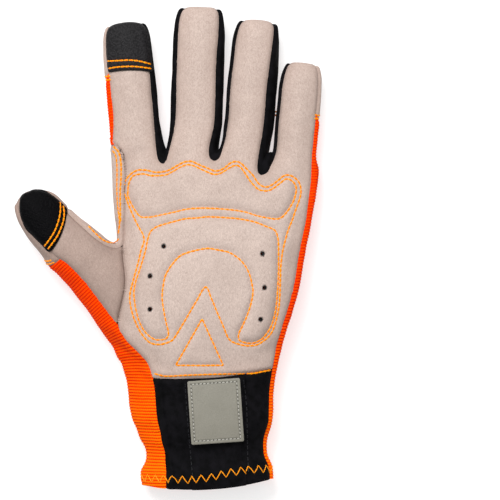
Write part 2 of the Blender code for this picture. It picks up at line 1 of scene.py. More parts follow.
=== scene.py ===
# %% [markdown]
# # A left-hand rose pruning glove
# The glove lies palm up on the back of the hand. Its palm, thumb and fingertips are suede, its back is a
# ribbed knit, and black stretch cloth joins the fingers and faces the wrist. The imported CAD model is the
# frame: it is loaded first, and every piece made here takes the place of one of its nodes.

# %% Load the frame
import math
from collections import namedtuple
from contextlib import contextmanager

import bmesh
import bpy
import numpy as np
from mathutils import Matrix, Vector, noise
from mathutils.bvhtree import BVHTree
from mathutils.kdtree import KDTree


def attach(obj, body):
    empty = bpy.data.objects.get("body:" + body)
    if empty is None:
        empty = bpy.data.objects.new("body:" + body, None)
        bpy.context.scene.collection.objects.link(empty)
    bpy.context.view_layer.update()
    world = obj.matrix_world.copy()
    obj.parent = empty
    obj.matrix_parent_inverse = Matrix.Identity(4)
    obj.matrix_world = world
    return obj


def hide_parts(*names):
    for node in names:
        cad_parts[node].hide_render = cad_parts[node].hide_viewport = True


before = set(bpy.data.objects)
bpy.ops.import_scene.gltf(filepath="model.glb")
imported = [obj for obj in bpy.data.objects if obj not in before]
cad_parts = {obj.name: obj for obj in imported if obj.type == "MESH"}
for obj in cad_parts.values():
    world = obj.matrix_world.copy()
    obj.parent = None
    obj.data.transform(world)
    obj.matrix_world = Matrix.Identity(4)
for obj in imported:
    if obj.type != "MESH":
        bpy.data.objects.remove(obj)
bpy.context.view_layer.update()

# %% [markdown]
# The photograph looks straight down into the palm. Half a millimetre of glove covers about one pixel, so
# a long lens high above the glove frames 262 mm of table, and nothing on the glove looks nearer than the
# rest. Stitches are laid along lines measured in the photograph, so one helper turns its pixels into metres.

# %% Camera, floor and light
PIXEL = 0.000525
ZERO_PIXEL = (195, 275)
PHOTO_SIDE = 500
CAMERA_HEIGHT = 2.6
SENSOR = 36
FOCUS_HEIGHT = 0.012  # the level at which PIXEL is true, about halfway up the glove
LAMPS_AIM = (0.01, 0.01, 0.0)
WORLD_LIGHT = 0.36
WHITE = (1.0, 1.0, 1.0, 1.0)


def from_photo(column, row):
    """The place on the table, in metres, that a pixel of the photograph shows."""
    return Vector(((column - ZERO_PIXEL[0]) * PIXEL, (ZERO_PIXEL[1] - row) * PIXEL))


def add_camera():
    middle = from_photo(PHOTO_SIDE / 2, PHOTO_SIDE / 2)
    bpy.ops.object.camera_add(location=(middle.x, middle.y, CAMERA_HEIGHT))
    camera = bpy.context.object
    camera.data.sensor_width = SENSOR
    camera.data.lens = SENSOR * (CAMERA_HEIGHT - FOCUS_HEIGHT) / (PHOTO_SIDE * PIXEL)
    camera.data.clip_end = 20
    bpy.context.scene.camera = camera
    return camera


def add_softbox(name, place, size, watts):
    """A square lamp that faces the middle of the glove."""
    bpy.ops.object.light_add(type="AREA", location=place)
    lamp = bpy.context.object
    lamp.name = name
    lamp.data.size = size
    lamp.data.energy = watts
    aim = Vector(LAMPS_AIM) - Vector(place)
    lamp.rotation_euler = aim.to_track_quat("-Z", "Y").to_euler()


camera = add_camera()
add_softbox("window_light", (-0.33, 0.72, 1.15), 0.7, 18.5)
add_softbox("ceiling_light", (0.10, 0.10, 1.90), 1.1, 12.0)
world = bpy.data.worlds.new("studio")
bpy.context.scene.world = world
world.use_nodes = True
backdrop = world.node_tree.nodes["Background"]
backdrop.inputs["Color"].default_value = WHITE
backdrop.inputs["Strength"].default_value = WORLD_LIGHT
bpy.context.scene.view_settings.view_transform = "Standard"
print("camera height:", round(camera.location.z, 2), "m")

# %% [markdown]
# ## Finishes
# A finish is a small tree of shader nodes. Writing its maths as Python keeps it short: `Value` wraps one
# output of a node and turns +, - and * into Math nodes, so `1 - mask` reads as it would on paper.
# `Finish.node` adds any other node.

# %% Shader maths
class Value:
    """One output of a shader node, for use in expressions."""

    def __init__(self, finish, socket):
        self.finish, self.socket = finish, socket

    def math(self, operation, *others):
        inputs = {0: self, **{place + 1: other for place, other in enumerate(others)}}
        return self.finish.node("Math", {"operation": operation}, inputs)

    def __add__(self, other):
        return self.math("ADD", other)

    def __sub__(self, other):
        return self.math("SUBTRACT", other)

    def __mul__(self, other):
        return self.math("MULTIPLY", other)

    def __rsub__(self, other):
        return self.finish.node("Math", {"operation": "SUBTRACT"}, {0: other, 1: self})

    __radd__, __rmul__ = __add__, __mul__

    def clamped(self, low, high):
        """0 at low, 1 at high, and straight between them."""
        return self.finish.node("MapRange", {"clamp": True},
                                {"Value": self, "From Min": low, "From Max": high})


class Finish:
    """A Principled material that is built one node at a time."""

    def __init__(self, name, roughness, sheen=0.0, specular=0.5):
        self.material = bpy.data.materials.new(name)
        self.material.use_nodes = True
        self.tree = self.material.node_tree
        self.shader = self.tree.nodes["Principled BSDF"]
        for socket, number in (("Roughness", roughness), ("Sheen Weight", sheen),
                               ("Specular IOR Level", specular)):
            self.shader.inputs[socket].default_value = number

    def node(self, kind, settings=None, inputs=None, output=0):
        node = self.tree.nodes.new("ShaderNode" + kind)
        for setting, value in (settings or {}).items():
            setattr(node, setting, value)
        for socket, value in (inputs or {}).items():
            self.feed(node.inputs[socket], value)
        return Value(self, node.outputs[output])

    def feed(self, socket, value):
        if isinstance(value, Value):
            self.tree.links.new(value.socket, socket)
        elif socket.type == "RGBA" and len(value) == 3:
            socket.default_value = (*value, 1.0)
        else:
            socket.default_value = value

    def place(self):
        return self.node("TexCoord", output=3)

    def own(self, attribute):
        """A number that the piece's mesh carries at each vertex."""
        return self.node("Attribute", {"attribute_name": attribute}, output=2)

    def cloud(self, size, detail=2.0, at=None, roughness=0.5):
        """Soft noise with spots of about this size, in metres."""
        where = at or self.place()
        return self.node("TexNoise", None, {"Vector": where, "Scale": 1.0 / size, "Detail": detail,
                                            "Roughness": roughness})

    def blend(self, amount, first, second):
        return self.node("Mix", {"data_type": "RGBA"}, {0: amount, 6: first, 7: second}, output=2)

    def paint(self, colour, roughness=None):
        self.feed(self.shader.inputs["Base Color"], colour)
        if roughness is not None:
            self.feed(self.shader.inputs["Roughness"], roughness)

    def emboss(self, height, depth):
        """Bump of this depth, in metres, from a height between 0 and 1."""
        bump = self.node("Bump", None, {"Height": height, "Distance": depth, "Strength": 1.0})
        self.feed(self.shader.inputs["Normal"], bump)


def from_bytes(red, green, blue):
    """A colour as read off a screen, made linear."""
    return tuple(c / 255 / 12.92 if c <= 10 else ((c / 255 + 0.055) / 1.055) ** 2.4
                 for c in (red, green, blue))


# %% [markdown]
# Synthetic suede is a matt pile: its colour is mottled by how the nap lies, in spots from a fibre to a
# few millimetres across, and it has hardly any gloss. A little sheen lights its edges as the pile does.
# The thumb's suede is a darker copy of the same suede, painted shade for a thumb that turns away from the
# light. Beside its seams the suede is painted darker, as shade on the glove's curved sides and in its seams:
# each point carries how near a seam is in `seam`. The punched rims of the vent holes are marked too, and
# painted almost black, as shade inside the holes.

# %% Suede
def suede_finish(name, dark, light, shade):
    suede = Finish(name, roughness=0.95, sheen=0.05, specular=0.1)
    place = suede.place()
    brushed = suede.node("Mapping", {"vector_type": "POINT"}, {"Vector": place, "Scale": (1.0, 0.45, 1.0)})
    nap = suede.cloud(0.0008, 3.0, brushed, 0.7)
    patches = suede.cloud(0.009, 3.0, place, 0.55)
    fibre = suede.cloud(0.00034, 2.0, brushed, 0.7)
    lie = (nap * 0.34 + patches * 0.12 + fibre * 0.54).clamped(0.34, 0.66)
    handled = suede.cloud(0.024, 3.0, place, 0.6).clamped(0.50, 0.68)
    colour = suede.blend(handled * 0.22, suede.blend(lie, dark, light), dark)
    # Painted shade: beside its seams the suede is darkened towards its shade colour.
    colour = suede.blend(suede.own("seam") * 0.45, colour, shade)
    # Painted shade: the punched rims of the vent holes are painted almost black, as the shade inside the
    # holes.
    colour = suede.blend(suede.own("vent"), colour, from_bytes(26, 23, 22))
    suede.paint(colour, 0.88 + lie * 0.1)
    suede.emboss(fibre * 0.6 + nap * 0.4, 0.00022)
    return suede.material


# The third colour of each suede is its painted shade beside the seams.
suede = suede_finish("greige_suede", from_bytes(162, 144, 135), from_bytes(206, 188, 178),
                     from_bytes(150, 124, 112))
# A darker copy of the suede: painted shade for the thumb, which turns away from the light.
thumb_suede = suede_finish("thumb_suede", from_bytes(142, 123, 114), from_bytes(181, 160, 149),
                           from_bytes(132, 110, 100))

# %% [markdown]
# The back is a rib knit: fat yarn stands out in rows across the hand. The deep red between the rows is
# painted shade on the same yarn, and the rows' crests carry a painted highlight in a lighter orange, which
# grows towards the wrist, where the knit is painted brighter too. Each point of the mesh carries how far it
# lies along the hand in `along`, so the rows turn with the fingers and the thumb.

# %% Ribbed knit
RIB = 0.00158  # width of a row
LOOP = 0.0011  # width of one loop of yarn in its row
# Painted light: between these places the knit is painted brighter, with a stronger painted highlight.
WRIST_PAINTED_LIGHT = (-0.020, -0.075)  # from here to here along the hand, where the knit is brighter


def knit_finish():
    knit = Finish("orange_rib_knit", roughness=0.85, specular=0.03)
    place = knit.place()
    along = knit.own("along")
    wobble = knit.cloud(0.012, 2.0, place) * 0.00035
    wrist = knit.node("SeparateXYZ", None, {0: place}, output=1).clamped(*WRIST_PAINTED_LIGHT)
    row = ((along + wobble) * (math.pi / RIB)).math("SINE").math("ABSOLUTE")
    row = row * (2.0 - row)
    across = knit.own("across")
    loop = (across * (2 * math.pi / LOOP) + (along * (math.pi / RIB)).math("FLOOR")).math("SINE")
    fuzz = knit.cloud(0.0004, 2.0, place, 0.7)
    patches = knit.cloud(0.02, 2.0, place)
    height = row * 0.8 + loop * 0.07 + fuzz * 0.15
    lit = (height + (patches - 0.5) * 0.25 + wrist * 0.12).clamped(0.15, 0.98)
    # Painted shade and highlight: low `lit` gives the deep red between the rows, and the crests take a
    # lighter orange, more so towards the wrist.
    deep = knit.blend(lit, from_bytes(214, 16, 0), from_bytes(255, 66, 0))
    knit.paint(knit.blend((lit - 0.60).clamped(0.0, 0.40) * (0.12 + wrist * 0.60),
                          deep, from_bytes(255, 132, 4)))
    knit.emboss(height, 0.00024)
    return knit.material


knit = knit_finish()

# %% [markdown]
# The gussets and the wrist panel are a smooth black stretch cloth. It shows only a fine, tight stitch and
# a soft light on its curves.

# %% Black stretch cloth
def stretch_finish():
    stretch = Finish("black_stretch", roughness=0.85, specular=0.06)
    place = stretch.place()
    weave = stretch.node("TexVoronoi", {"feature": "F1"}, {"Vector": place, "Scale": 1.0 / 0.00055})
    tone = stretch.cloud(0.004, 3.0, place)
    colour = stretch.blend(tone.clamped(0.35, 0.65), from_bytes(5, 5, 6), from_bytes(16, 15, 18))
    stretch.paint(colour, 0.7 + tone * 0.2)
    stretch.emboss(1.0 - weave.clamped(0.0, 0.9), 0.0001)
    return stretch.material


stretch = stretch_finish()

# %% [markdown]
# The tip patches are a grippy coated leather in charcoal with a pebbled grain. The pebbles are a little
# glossier than the valleys, and their tops are painted lighter and the valleys darker, as painted highlight
# and painted shade.

# %% Charcoal grip leather
def grip_finish(name, valley, pebble_highlight, specular):
    grip = Finish(name, roughness=0.6, specular=specular)
    place = grip.place()
    cells = grip.node("TexVoronoi", {"feature": "SMOOTH_F1"}, {"Vector": place, "Scale": 1.0 / 0.0008,
                                                             "Smoothness": 0.4})
    pebble = 1.0 - cells.clamped(0.05, 0.75)
    tone = grip.cloud(0.003, 3.0, place)
    # Painted highlight and shade: the pebbles' tops take the lighter colour and the valleys the darker one.
    colour = grip.blend(pebble * 0.7 + tone * 0.3, valley, pebble_highlight)
    grip.paint(colour, 0.66 - pebble * 0.18)
    grip.emboss(pebble * 0.8 + grip.cloud(0.0003, 2.0, place) * 0.2, 0.00024)
    return grip.material


index_grip = grip_finish("charcoal_grip", from_bytes(8, 8, 9), from_bytes(42, 40, 42), 0.16)
thumb_grip = grip_finish("black_grip", from_bytes(2, 2, 3), from_bytes(9, 8, 10), 0.05)

# %% [markdown]
# The tab is moulded from soft grey rubber with a faint tooth, and the groove along its stitches is painted
# darker, as shade in the groove. The threads are bright polyester in two twisted plies, and the slanting line
# between the plies is painted darker, as shade between them.

# %% Rubber and thread
def rubber_finish():
    rubber = Finish("grey_tab_rubber", roughness=0.6, specular=0.35)
    place = rubber.place()
    tooth = rubber.cloud(0.0005, 3.0, place, 0.6)
    tone = rubber.cloud(0.008, 2.0, place)
    colour = rubber.blend((tooth * 0.8 + tone * 0.2).clamped(0.3, 0.7),
                          from_bytes(119, 116, 105), from_bytes(139, 136, 125))
    # Painted shade: the groove along the stitches is darkened, as shade falls in it.
    colour = rubber.blend(rubber.own("groove") * 0.85, colour, from_bytes(62, 60, 53))
    rubber.paint(colour, 0.52 + tooth * 0.15)
    rubber.emboss(tooth, 0.00008)
    return rubber.material


def thread_finish(name, dark, bright):
    thread = Finish(name, roughness=0.55, specular=0.12)
    ply = (thread.own("twist") * (2 * math.pi)).math("SINE").clamped(-0.9, 0.6)
    shade = thread.cloud(0.003, 1.0)
    # Painted shade: the slanting line between the two plies takes the dark colour.
    thread.paint(thread.blend(ply * 0.75 + shade * 0.25, dark, bright), 0.42 + ply * 0.1)
    thread.emboss(ply, 0.00008)
    return thread.material


rubber = rubber_finish()
orange_thread = thread_finish("orange_thread", from_bytes(240, 112, 0), from_bytes(255, 172, 8))
yellow_thread = thread_finish("yellow_thread", from_bytes(234, 112, 4), from_bytes(255, 176, 30))
black_thread = thread_finish("black_thread", from_bytes(3, 3, 3), from_bytes(40, 40, 43))
grey_thread = thread_finish("grey_thread", from_bytes(150, 148, 138), from_bytes(215, 213, 204))
red_thread = thread_finish("red_thread", from_bytes(224, 60, 2), from_bytes(255, 140, 12))
print("finishes:", sorted(material.name for material in bpy.data.materials if material.users == 0))

# %% [markdown]
# ## Sizes of the glove
# The scene's skin grows from the same sizes and tables as the CAD model, so the two agree everywhere.
# Lengths are in metres, and +X is the little finger's side, +Y runs along the fingers and +Z is up.

# %% Sizes
# Palm and cuff
PALM_LENGTH = 0.1086  # cuff seam to the line of the finger crotches
PALM_WIDTH = 0.1055  # across the knuckles
PALM_DEPTH = 0.031  # front to back at the ball of the thumb
REST_TO_CUFF_SEAM = 0.0508  # from the resting flat's middle down to the cuff seam
CUFF_LENGTH = 0.0578  # cuff seam to hem
CUFF_WIDTH = 0.0746
CUFF_DEPTH = 0.026
REST_SINK = 0.0016  # how far the soft back would hang below the surface it flattens on

# Walls and seams
SUEDE_WALL = 0.0012
KNIT_WALL = 0.0014
GUSSET_WALL = 0.0011
CUFF_WALL = 0.0016
PATCH_WALL = 0.0010
STRIP_WALL = 0.0012
LABEL_WALL = 0.0016
SEAM_GAP = 0.0003

# Fingertips
CAP_LENGTH = 0.0272  # suede cap, measured from the fingertip
CAP_LAG = 0.0035  # the cap reaches this much further down the back than the patch on the front
THUMB_PATCH_LENGTH = 0.0270  # grip patch on the thumb's front, measured from its tip

# Label
LABEL_WIDTH = 0.0275
LABEL_HEIGHT = 0.0333
LABEL_LEAN = math.radians(3.8)

# %% [markdown]
# The body's rows run from the hem to the knuckles, and the fingers and thumb follow as sections along
# their own lines. Each row of a table is one line of points round the glove.

# %% Tables
FINGERS = ("index", "middle", "ring", "little")
COLUMNS = 3 * len(FINGERS)  # each finger has a left corner, a middle and a right corner

# Body rows, from the hem to the knuckles. "along" is a share of the cuff's or the palm's length from
# the cuff seam; edges and seams are shares of its width from the glove's centre line, and depth of
# its depth. "rise" lifts the row's little-finger end and "bow" drops its middle, as shares of width.
BodyRow = namedtuple("BodyRow", "along thumb_edge thumb_seam little_seam little_edge depth rise bow")
CUFF_ROWS = (
    BodyRow(-1.000, -0.368, -0.204, 0.532, 0.545, 0.92, 0.048, 0.046),
    BodyRow(-0.855, -0.376, -0.201, 0.516, 0.527, 0.96, 0.050, 0.040),
    BodyRow(-0.715, -0.343, -0.214, 0.483, 0.496, 0.86, 0.065, 0.020),
    BodyRow(-0.440, -0.428, -0.253, 0.524, 0.543, 1.02, 0.050, 0.030),
    BodyRow(-0.215, -0.463, -0.277, 0.526, 0.541, 1.00, 0.048, 0.040),
    BodyRow(0.000, -0.487, -0.296, 0.550, 0.572, 1.06, 0.048, 0.042),
)
PALM_ROWS = (
    BodyRow(0.095, -0.394, -0.274, 0.406, 0.423, 0.93, 0.020, 0.010),
    BodyRow(0.227, -0.486, -0.383, 0.438, 0.459, 1.00, 0.000, 0.000),
    BodyRow(0.419, -0.500, -0.341, 0.493, 0.515, 1.00, 0.000, 0.000),
    BodyRow(0.613, -0.386, -0.363, 0.528, 0.549, 0.94, 0.000, 0.000),
    BodyRow(0.726, -0.394, -0.356, 0.552, 0.570, 0.87, 0.000, 0.000),
    BodyRow(0.829, -0.408, -0.355, 0.566, 0.593, 0.81, 0.000, 0.000),
)
SEAM_ROW = len(CUFF_ROWS) - 1
THUMB_LOW_ROW = SEAM_ROW + 2
THUMB_HIGH_ROW = SEAM_ROW + 4
ROOT_ROW = SEAM_ROW + len(PALM_ROWS) + 1
ROOT_DEPTH = 0.70  # share of the palm's depth where the fingers leave it
PARTING = 0.46  # height of the glove's widest line, as a share of the row's depth

# Fingers. Base and tip are shares of the palm's width from the centre line; reach is a finger's
# length beyond its base, and base_along the base as a share of the palm's length. The insets are
# how far the palm's seam lies in from each edge, as shares of the half width.
Finger = namedtuple("Finger", "base tip base_along reach width depth lift thumb_inset little_inset")
FINGER_SHAPES = {
    "index": Finger(-0.279, -0.347, 1.000, 0.0748, 0.0257, 0.0170, 0.0050, 0.11, 0.20),
    "middle": Finger(-0.002, 0.028, 1.016, 0.0815, 0.0272, 0.0176, 0.0030, 0.17, 0.30),
    "ring": Finger(0.252, 0.317, 1.000, 0.0764, 0.0252, 0.0170, 0.0040, 0.08, 0.40),
    "little": Finger(0.484, 0.538, 0.933, 0.0615, 0.0218, 0.0154, 0.0050, 0.08, 0.13),
}
# Sections up a finger. Those under the cap are shares of the way to the cap's edge, those in the
# cap shares of the cap. Width, depth and inset are shares of the finger's own: the palm's suede
# widens towards the tip, where its seams come out to the edges.
Section = namedtuple("Section", "along width depth inset")
SHAFT_SECTIONS = (Section(0.36, 1.01, 1.03, 1.00), Section(0.68, 1.01, 1.00, 1.00))
CAP_SECTIONS = (
    Section(0.000, 1.00, 0.98, 0.95),
    Section(0.500, 0.97, 0.90, 0.75),
    Section(0.860, 0.84, 0.68, 0.45),
    Section(0.965, 0.62, 0.40, 0.35),
)
NARROWEST_INSET = 0.11  # a seam comes no nearer to the edge than this on its way out

# Finger crotches. "across" is the gusset's middle as a share of the palm's width, the three heights
# shares of the palm's length, for its tip on the palm, the bottom of the gap and its tip on the back.
# The widths are shares of the palm's width, and so is "lean", by which the bottom of the gap stands
# nearer to the little finger than the gusset's tip on the palm. The tip on the back leans half as far.
Crotch = namedtuple("Crotch", "across front saddle back front_width gap back_width lean")
CROTCHES = (
    Crotch(-0.162, 1.026, 1.081, 0.922, 0.046, 0.020, 0.080, 0.026),
    Crotch(0.098, 1.041, 1.080, 0.953, 0.056, 0.018, 0.085, 0.030),
    Crotch(0.338, 0.966, 1.064, 0.892, 0.054, 0.018, 0.074, 0.034),
)
# Heights of the finger roots' middles and of the two outer corners, as shares of the palm's length.
ROOT_MIDDLES = (1.041, 1.050, 1.031, 0.961)
ROOT_THUMB_SEAM, ROOT_THUMB_EDGE = (-0.385, 1.070), (-0.419, 1.098)
ROOT_LITTLE_SEAM, ROOT_LITTLE_EDGE = (0.580, 0.928), (0.616, 0.965)

# Thumb: base and tip as shares of the palm's width and length. Its shaft's sections are shares of its
# reach, the last of them where the cap starts, and the tip's are shares of the grip patch. "skew"
# moves a section's crotch side towards the tip, "seam_slide" its front seam towards the wrist and
# "aside" its middle towards the crotch, as shares of the width.
THUMB_BASE = (-0.469, 0.449)
THUMB_TIP = (-0.857, 0.853)
THUMB_WIDTH = 0.0262
THUMB_DEPTH = 0.0215
THUMB_HEIGHT = 0.0165  # of its centre line at the first section
THUMB_LIFT = 0.0045
ThumbSection = namedtuple("ThumbSection", "along width depth palm_inset crotch_inset skew seam_slide aside")
THUMB_SHAFT = (
    ThumbSection(0.220, 1.19, 1.14, 0.50, 0.20, 0.10, 0.06, 0.04),
    ThumbSection(0.435, 1.14, 1.07, 0.46, 0.13, 0.10, 0.12, -0.03),
)
THUMB_TIP_SECTIONS = (
    ThumbSection(0.000, 1.04, 1.00, 0.36, 0.10, 0.20, 0.00, -0.03),
    ThumbSection(0.520, 0.94, 0.90, 0.26, 0.10, 0.08, 0.00, 0.00),
    ThumbSection(0.860, 0.62, 0.66, 0.18, 0.12, 0.00, 0.00, 0.00),
    ThumbSection(0.965, 0.37, 0.36, 0.18, 0.12, 0.00, 0.00, 0.00),
)

# Folds pressed into the skin: ends as shares of the palm's width and length from the centre line and
# the cuff seam, depth and half width as shares of the palm's depth, and the side they are on.
Fold = namedtuple("Fold", "start end depth half_width front")
FOLDS = (
    Fold((-0.420, 0.120), (-0.280, 0.027), 0.085, 0.16, True),
    Fold((-0.385, 0.001), (-0.265, -0.066), 0.060, 0.14, True),
    Fold((-0.430, 0.151), (-0.100, -0.014), 0.070, 0.22, False),
)

# The wrist strip: the columns that it lies between, and where they stand across the cuff panel.
STRIP_COLUMNS = (3, 8)
STRIP_SHARES = (0.247, 0.769)

WALLS = {
    "palm_panel": SUEDE_WALL, "thumb_panel": SUEDE_WALL, "crotch_patch": SUEDE_WALL,
    "back_panel": KNIT_WALL, "cuff_panel": CUFF_WALL,
    "gusset_index_middle": GUSSET_WALL, "gusset_middle_ring": GUSSET_WALL,
    "gusset_ring_little": GUSSET_WALL,
    "index_cap": SUEDE_WALL, "middle_cap": SUEDE_WALL, "ring_cap": SUEDE_WALL,
    "little_cap": SUEDE_WALL, "thumb_cap": SUEDE_WALL,
}
PANELS = tuple(WALLS)
PATCH_WALLS = {
    "wrist_strip": STRIP_WALL, "index_tip_patch": PATCH_WALL, "thumb_tip_patch": PATCH_WALL,
}
PATCHES = tuple(PATCH_WALLS)
GUSSETS = ("gusset_index_middle", "gusset_middle_ring", "gusset_ring_little")

# %% [markdown]
# ## The cage
# Cloth has no flat faces, so the skin starts as a coarse cage of four-sided faces that a Subdivision
# Surface can round. A cage is quick to reshape: one number in a table moves one line of points. Every
# face knows its panel, and the rows of the body are laid first.

# %% Rows of the palm and cuff
FRONT_FULLNESS, BACK_FULLNESS, FINGER_FULLNESS = 2.6, 3.4, 2.3  # 2 is an ellipse, more is squarer
BACK_REACH = 0.82  # how far out the back's columns go, as a share of the half width
ROOT_BACK_INSET = 0.045  # the back's outer corners lie this much in, as a share of the palm's width


def crown(across, power):
    """How full a section is at this share of its half width: 1 in the middle, 0 at the edge."""
    return max(0.0, 1.0 - min(1.0, abs(across)) ** power) ** (1.0 / power)


def front_height(across, depth):
    middle = PARTING * depth
    return middle + (depth - middle) * crown(across, FRONT_FULLNESS)


def back_height(across, depth):
    middle = PARTING * depth
    return middle - (middle + REST_SINK) * crown(across, BACK_FULLNESS)


def on_palm(across, along):
    """A place in metres, from shares of the palm's width and length."""
    return across * PALM_WIDTH, along * PALM_LENGTH - REST_TO_CUFF_SEAM


class Cage:
    """Points and four-sided faces of the coarse skin. Each face has the panel it belongs to, and the
    patch that is sewn on top of it, if there is one."""

    def __init__(self):
        self.points = []
        self.faces = []
        self.panels = []
        self.patches = []

    def point(self, x, y, z):
        self.points.append((x, y, z))
        return len(self.points) - 1

    def face(self, panel, *corners, patch=None):
        self.faces.append(corners)
        self.panels.append(PANELS.index(panel))
        self.patches.append(PATCHES.index(patch) if patch else -1)


def column_shares():
    """Where each column stands between the two seams of the knuckle row."""
    low, high = ROOT_THUMB_SEAM[0], ROOT_LITTLE_SEAM[0]
    edges = [low]
    for crotch in CROTCHES:
        edges += [crotch.across - crotch.front_width / 2, crotch.across + crotch.front_width / 2]
    edges.append(high)
    places = []
    for finger in range(len(FINGERS)):
        left, right = edges[2 * finger], edges[2 * finger + 1]
        places += [left, (left + right) / 2, right]
    return [(place - low) / (high - low) for place in places]


def body_rows():
    """The rows in metres, with the length, width and depth that each one's shares follow."""
    for row in CUFF_ROWS:
        yield row, CUFF_LENGTH, CUFF_WIDTH, CUFF_DEPTH
    for row in PALM_ROWS:
        yield row, PALM_LENGTH, PALM_WIDTH, PALM_DEPTH


def add_body(cage):
    """Adds the cuff's and palm's rows. Each is returned as its front, back, thumb and little side points."""
    cuff_shares = np.interp(range(COLUMNS), (0, *STRIP_COLUMNS, COLUMNS - 1), (0.0, *STRIP_SHARES, 1.0))
    knuckle_shares = column_shares()
    rows = []
    for number, (row, length, width, depth_size) in enumerate(body_rows()):
        depth = row.depth * depth_size
        thumb_edge, little_edge = row.thumb_edge * width, row.little_edge * width
        middle, half = (thumb_edge + little_edge) / 2, (little_edge - thumb_edge) / 2
        knuckly = max(0, number - SEAM_ROW) / (ROOT_ROW - SEAM_ROW)

        def height_along(x):
            across = (x - middle) / half
            return (row.along * length - REST_TO_CUFF_SEAM + row.rise * width * across / 2
                    - row.bow * width * (1.0 - across * across))

        front, back = [], []
        for column in range(COLUMNS):
            share = cuff_shares[column] * (1.0 - knuckly) + knuckle_shares[column] * knuckly
            x = width * (row.thumb_seam + (row.little_seam - row.thumb_seam) * share)
            front.append(cage.point(x, height_along(x), front_height((x - middle) / half, depth)))
            x = middle + half * BACK_REACH * (2.0 * share - 1.0)
            back.append(cage.point(x, height_along(x), back_height((x - middle) / half, depth)))
        side_height = PARTING * depth
        thumb_side = None
        if not THUMB_LOW_ROW < number < THUMB_HIGH_ROW:
            thumb_side = cage.point(thumb_edge, height_along(thumb_edge), side_height)
        little_side = cage.point(little_edge, height_along(little_edge), side_height)
        rows.append((front, back, thumb_side, little_side))
    return rows


def root_row(cage):
    """The row where the fingers leave the palm, with the two saddle points of each crotch."""
    depth = ROOT_DEPTH * PALM_DEPTH
    middle = PALM_WIDTH * (ROOT_THUMB_EDGE[0] + ROOT_LITTLE_EDGE[0]) / 2
    half = PALM_WIDTH * (ROOT_LITTLE_EDGE[0] - ROOT_THUMB_EDGE[0]) / 2

    def place(share, along, height):
        x, y = on_palm(share, along)
        return cage.point(x, y, height((x - middle) / half, depth))

    def side(share, along):
        return cage.point(*on_palm(share, along), PARTING * depth)

    front_corners = [ROOT_THUMB_SEAM]
    back_corners = [(ROOT_THUMB_EDGE[0] + ROOT_BACK_INSET, ROOT_THUMB_SEAM[1])]
    saddles = []
    for crotch in CROTCHES:
        for sign in (-1, 1):
            front_corners.append((crotch.across + sign * crotch.front_width / 2, crotch.front))
            back_corners.append((crotch.across + crotch.lean / 2 + sign * crotch.back_width / 2, crotch.back))
            saddles.append(side(crotch.across + crotch.lean + sign * crotch.gap / 2, crotch.saddle))
    front_corners.append(ROOT_LITTLE_SEAM)
    back_corners.append((ROOT_LITTLE_EDGE[0] - ROOT_BACK_INSET, ROOT_LITTLE_SEAM[1]))
    front, back = [], []
    for finger, along in enumerate(ROOT_MIDDLES):
        for corners, height, points in (
            (front_corners, front_height, front), (back_corners, back_height, back)
        ):
            left, right = corners[2 * finger], corners[2 * finger + 1]
            points.append(place(*left, height))
            points.append(place((left[0] + right[0]) / 2, along, height))
            points.append(place(*right, height))
    thumb_side, little_side = side(*ROOT_THUMB_EDGE), side(*ROOT_LITTLE_EDGE)
    return (front, back, thumb_side, little_side), saddles

# %% [markdown]
# Each finger is a stack of rings with eight points, and the thumb is one more stack, set on the opening
# that the palm's thumb side leaves.

# %% Fingers and thumb
BACK_EDGE = 0.74  # where the back's outer points stand on a finger's ring, as a share of the half width


def ring(cage, centre, direction, width, depth, insets, shifts=(0.0, 0.0, 0.0)):
    """Eight points round a finger: the palm's left, middle and right, the right side, the back's right,
    middle and left, and the left side.

    insets are the palm seams' distances from the left and right edges, as shares of the half width.
    shifts slide the left side, the back and the left palm seam along the finger.
    """
    right = Vector((direction.y, -direction.x, 0.0))
    left_seam, right_seam = insets[0] - 1.0, 1.0 - insets[1]
    places = (
        (left_seam, 1), (0.5 * (left_seam + right_seam), 1), (right_seam, 1), (1.0, 0),
        (BACK_EDGE, -1), (0.0, -1), (-BACK_EDGE, -1), (-1.0, 0),
    )
    points = []
    for across, side in places:
        slide = -shifts[0] * across + (shifts[1] if side <= 0 else 0.0)
        if not points:
            slide += shifts[2]
        spot = centre + right * (across * width / 2) - direction * slide
        spot = spot + Vector((0.0, 0.0, side * depth / 2 * crown(across, FINGER_FULLNESS)))
        points.append(cage.point(*spot))
    return points


def join_rings(cage, low, high, panels, patch=None):
    """Closes the eight faces between two rings. panels names the panel of each of them, and the patch
    lies on the first two, which face out of the palm."""
    for i, panel in enumerate(panels):
        following = (i + 1) % len(low)
        cage.face(panel, low[i], low[following], high[following], high[i], patch=patch if i < 2 else None)


def close_tip(cage, last, tip, front_panel, back_panel, patch=None):
    palm_left, palm_middle, palm_right, right, back_right, back_middle, back_left, left = last
    cage.face(front_panel, palm_left, palm_middle, tip, left, patch=patch)
    cage.face(front_panel, palm_middle, palm_right, right, tip, patch=patch)
    cage.face(back_panel, right, back_right, back_middle, tip)
    cage.face(back_panel, back_middle, back_left, left, tip)


def tapered(inset, share):
    return min(inset, max(NARROWEST_INSET, inset * share))


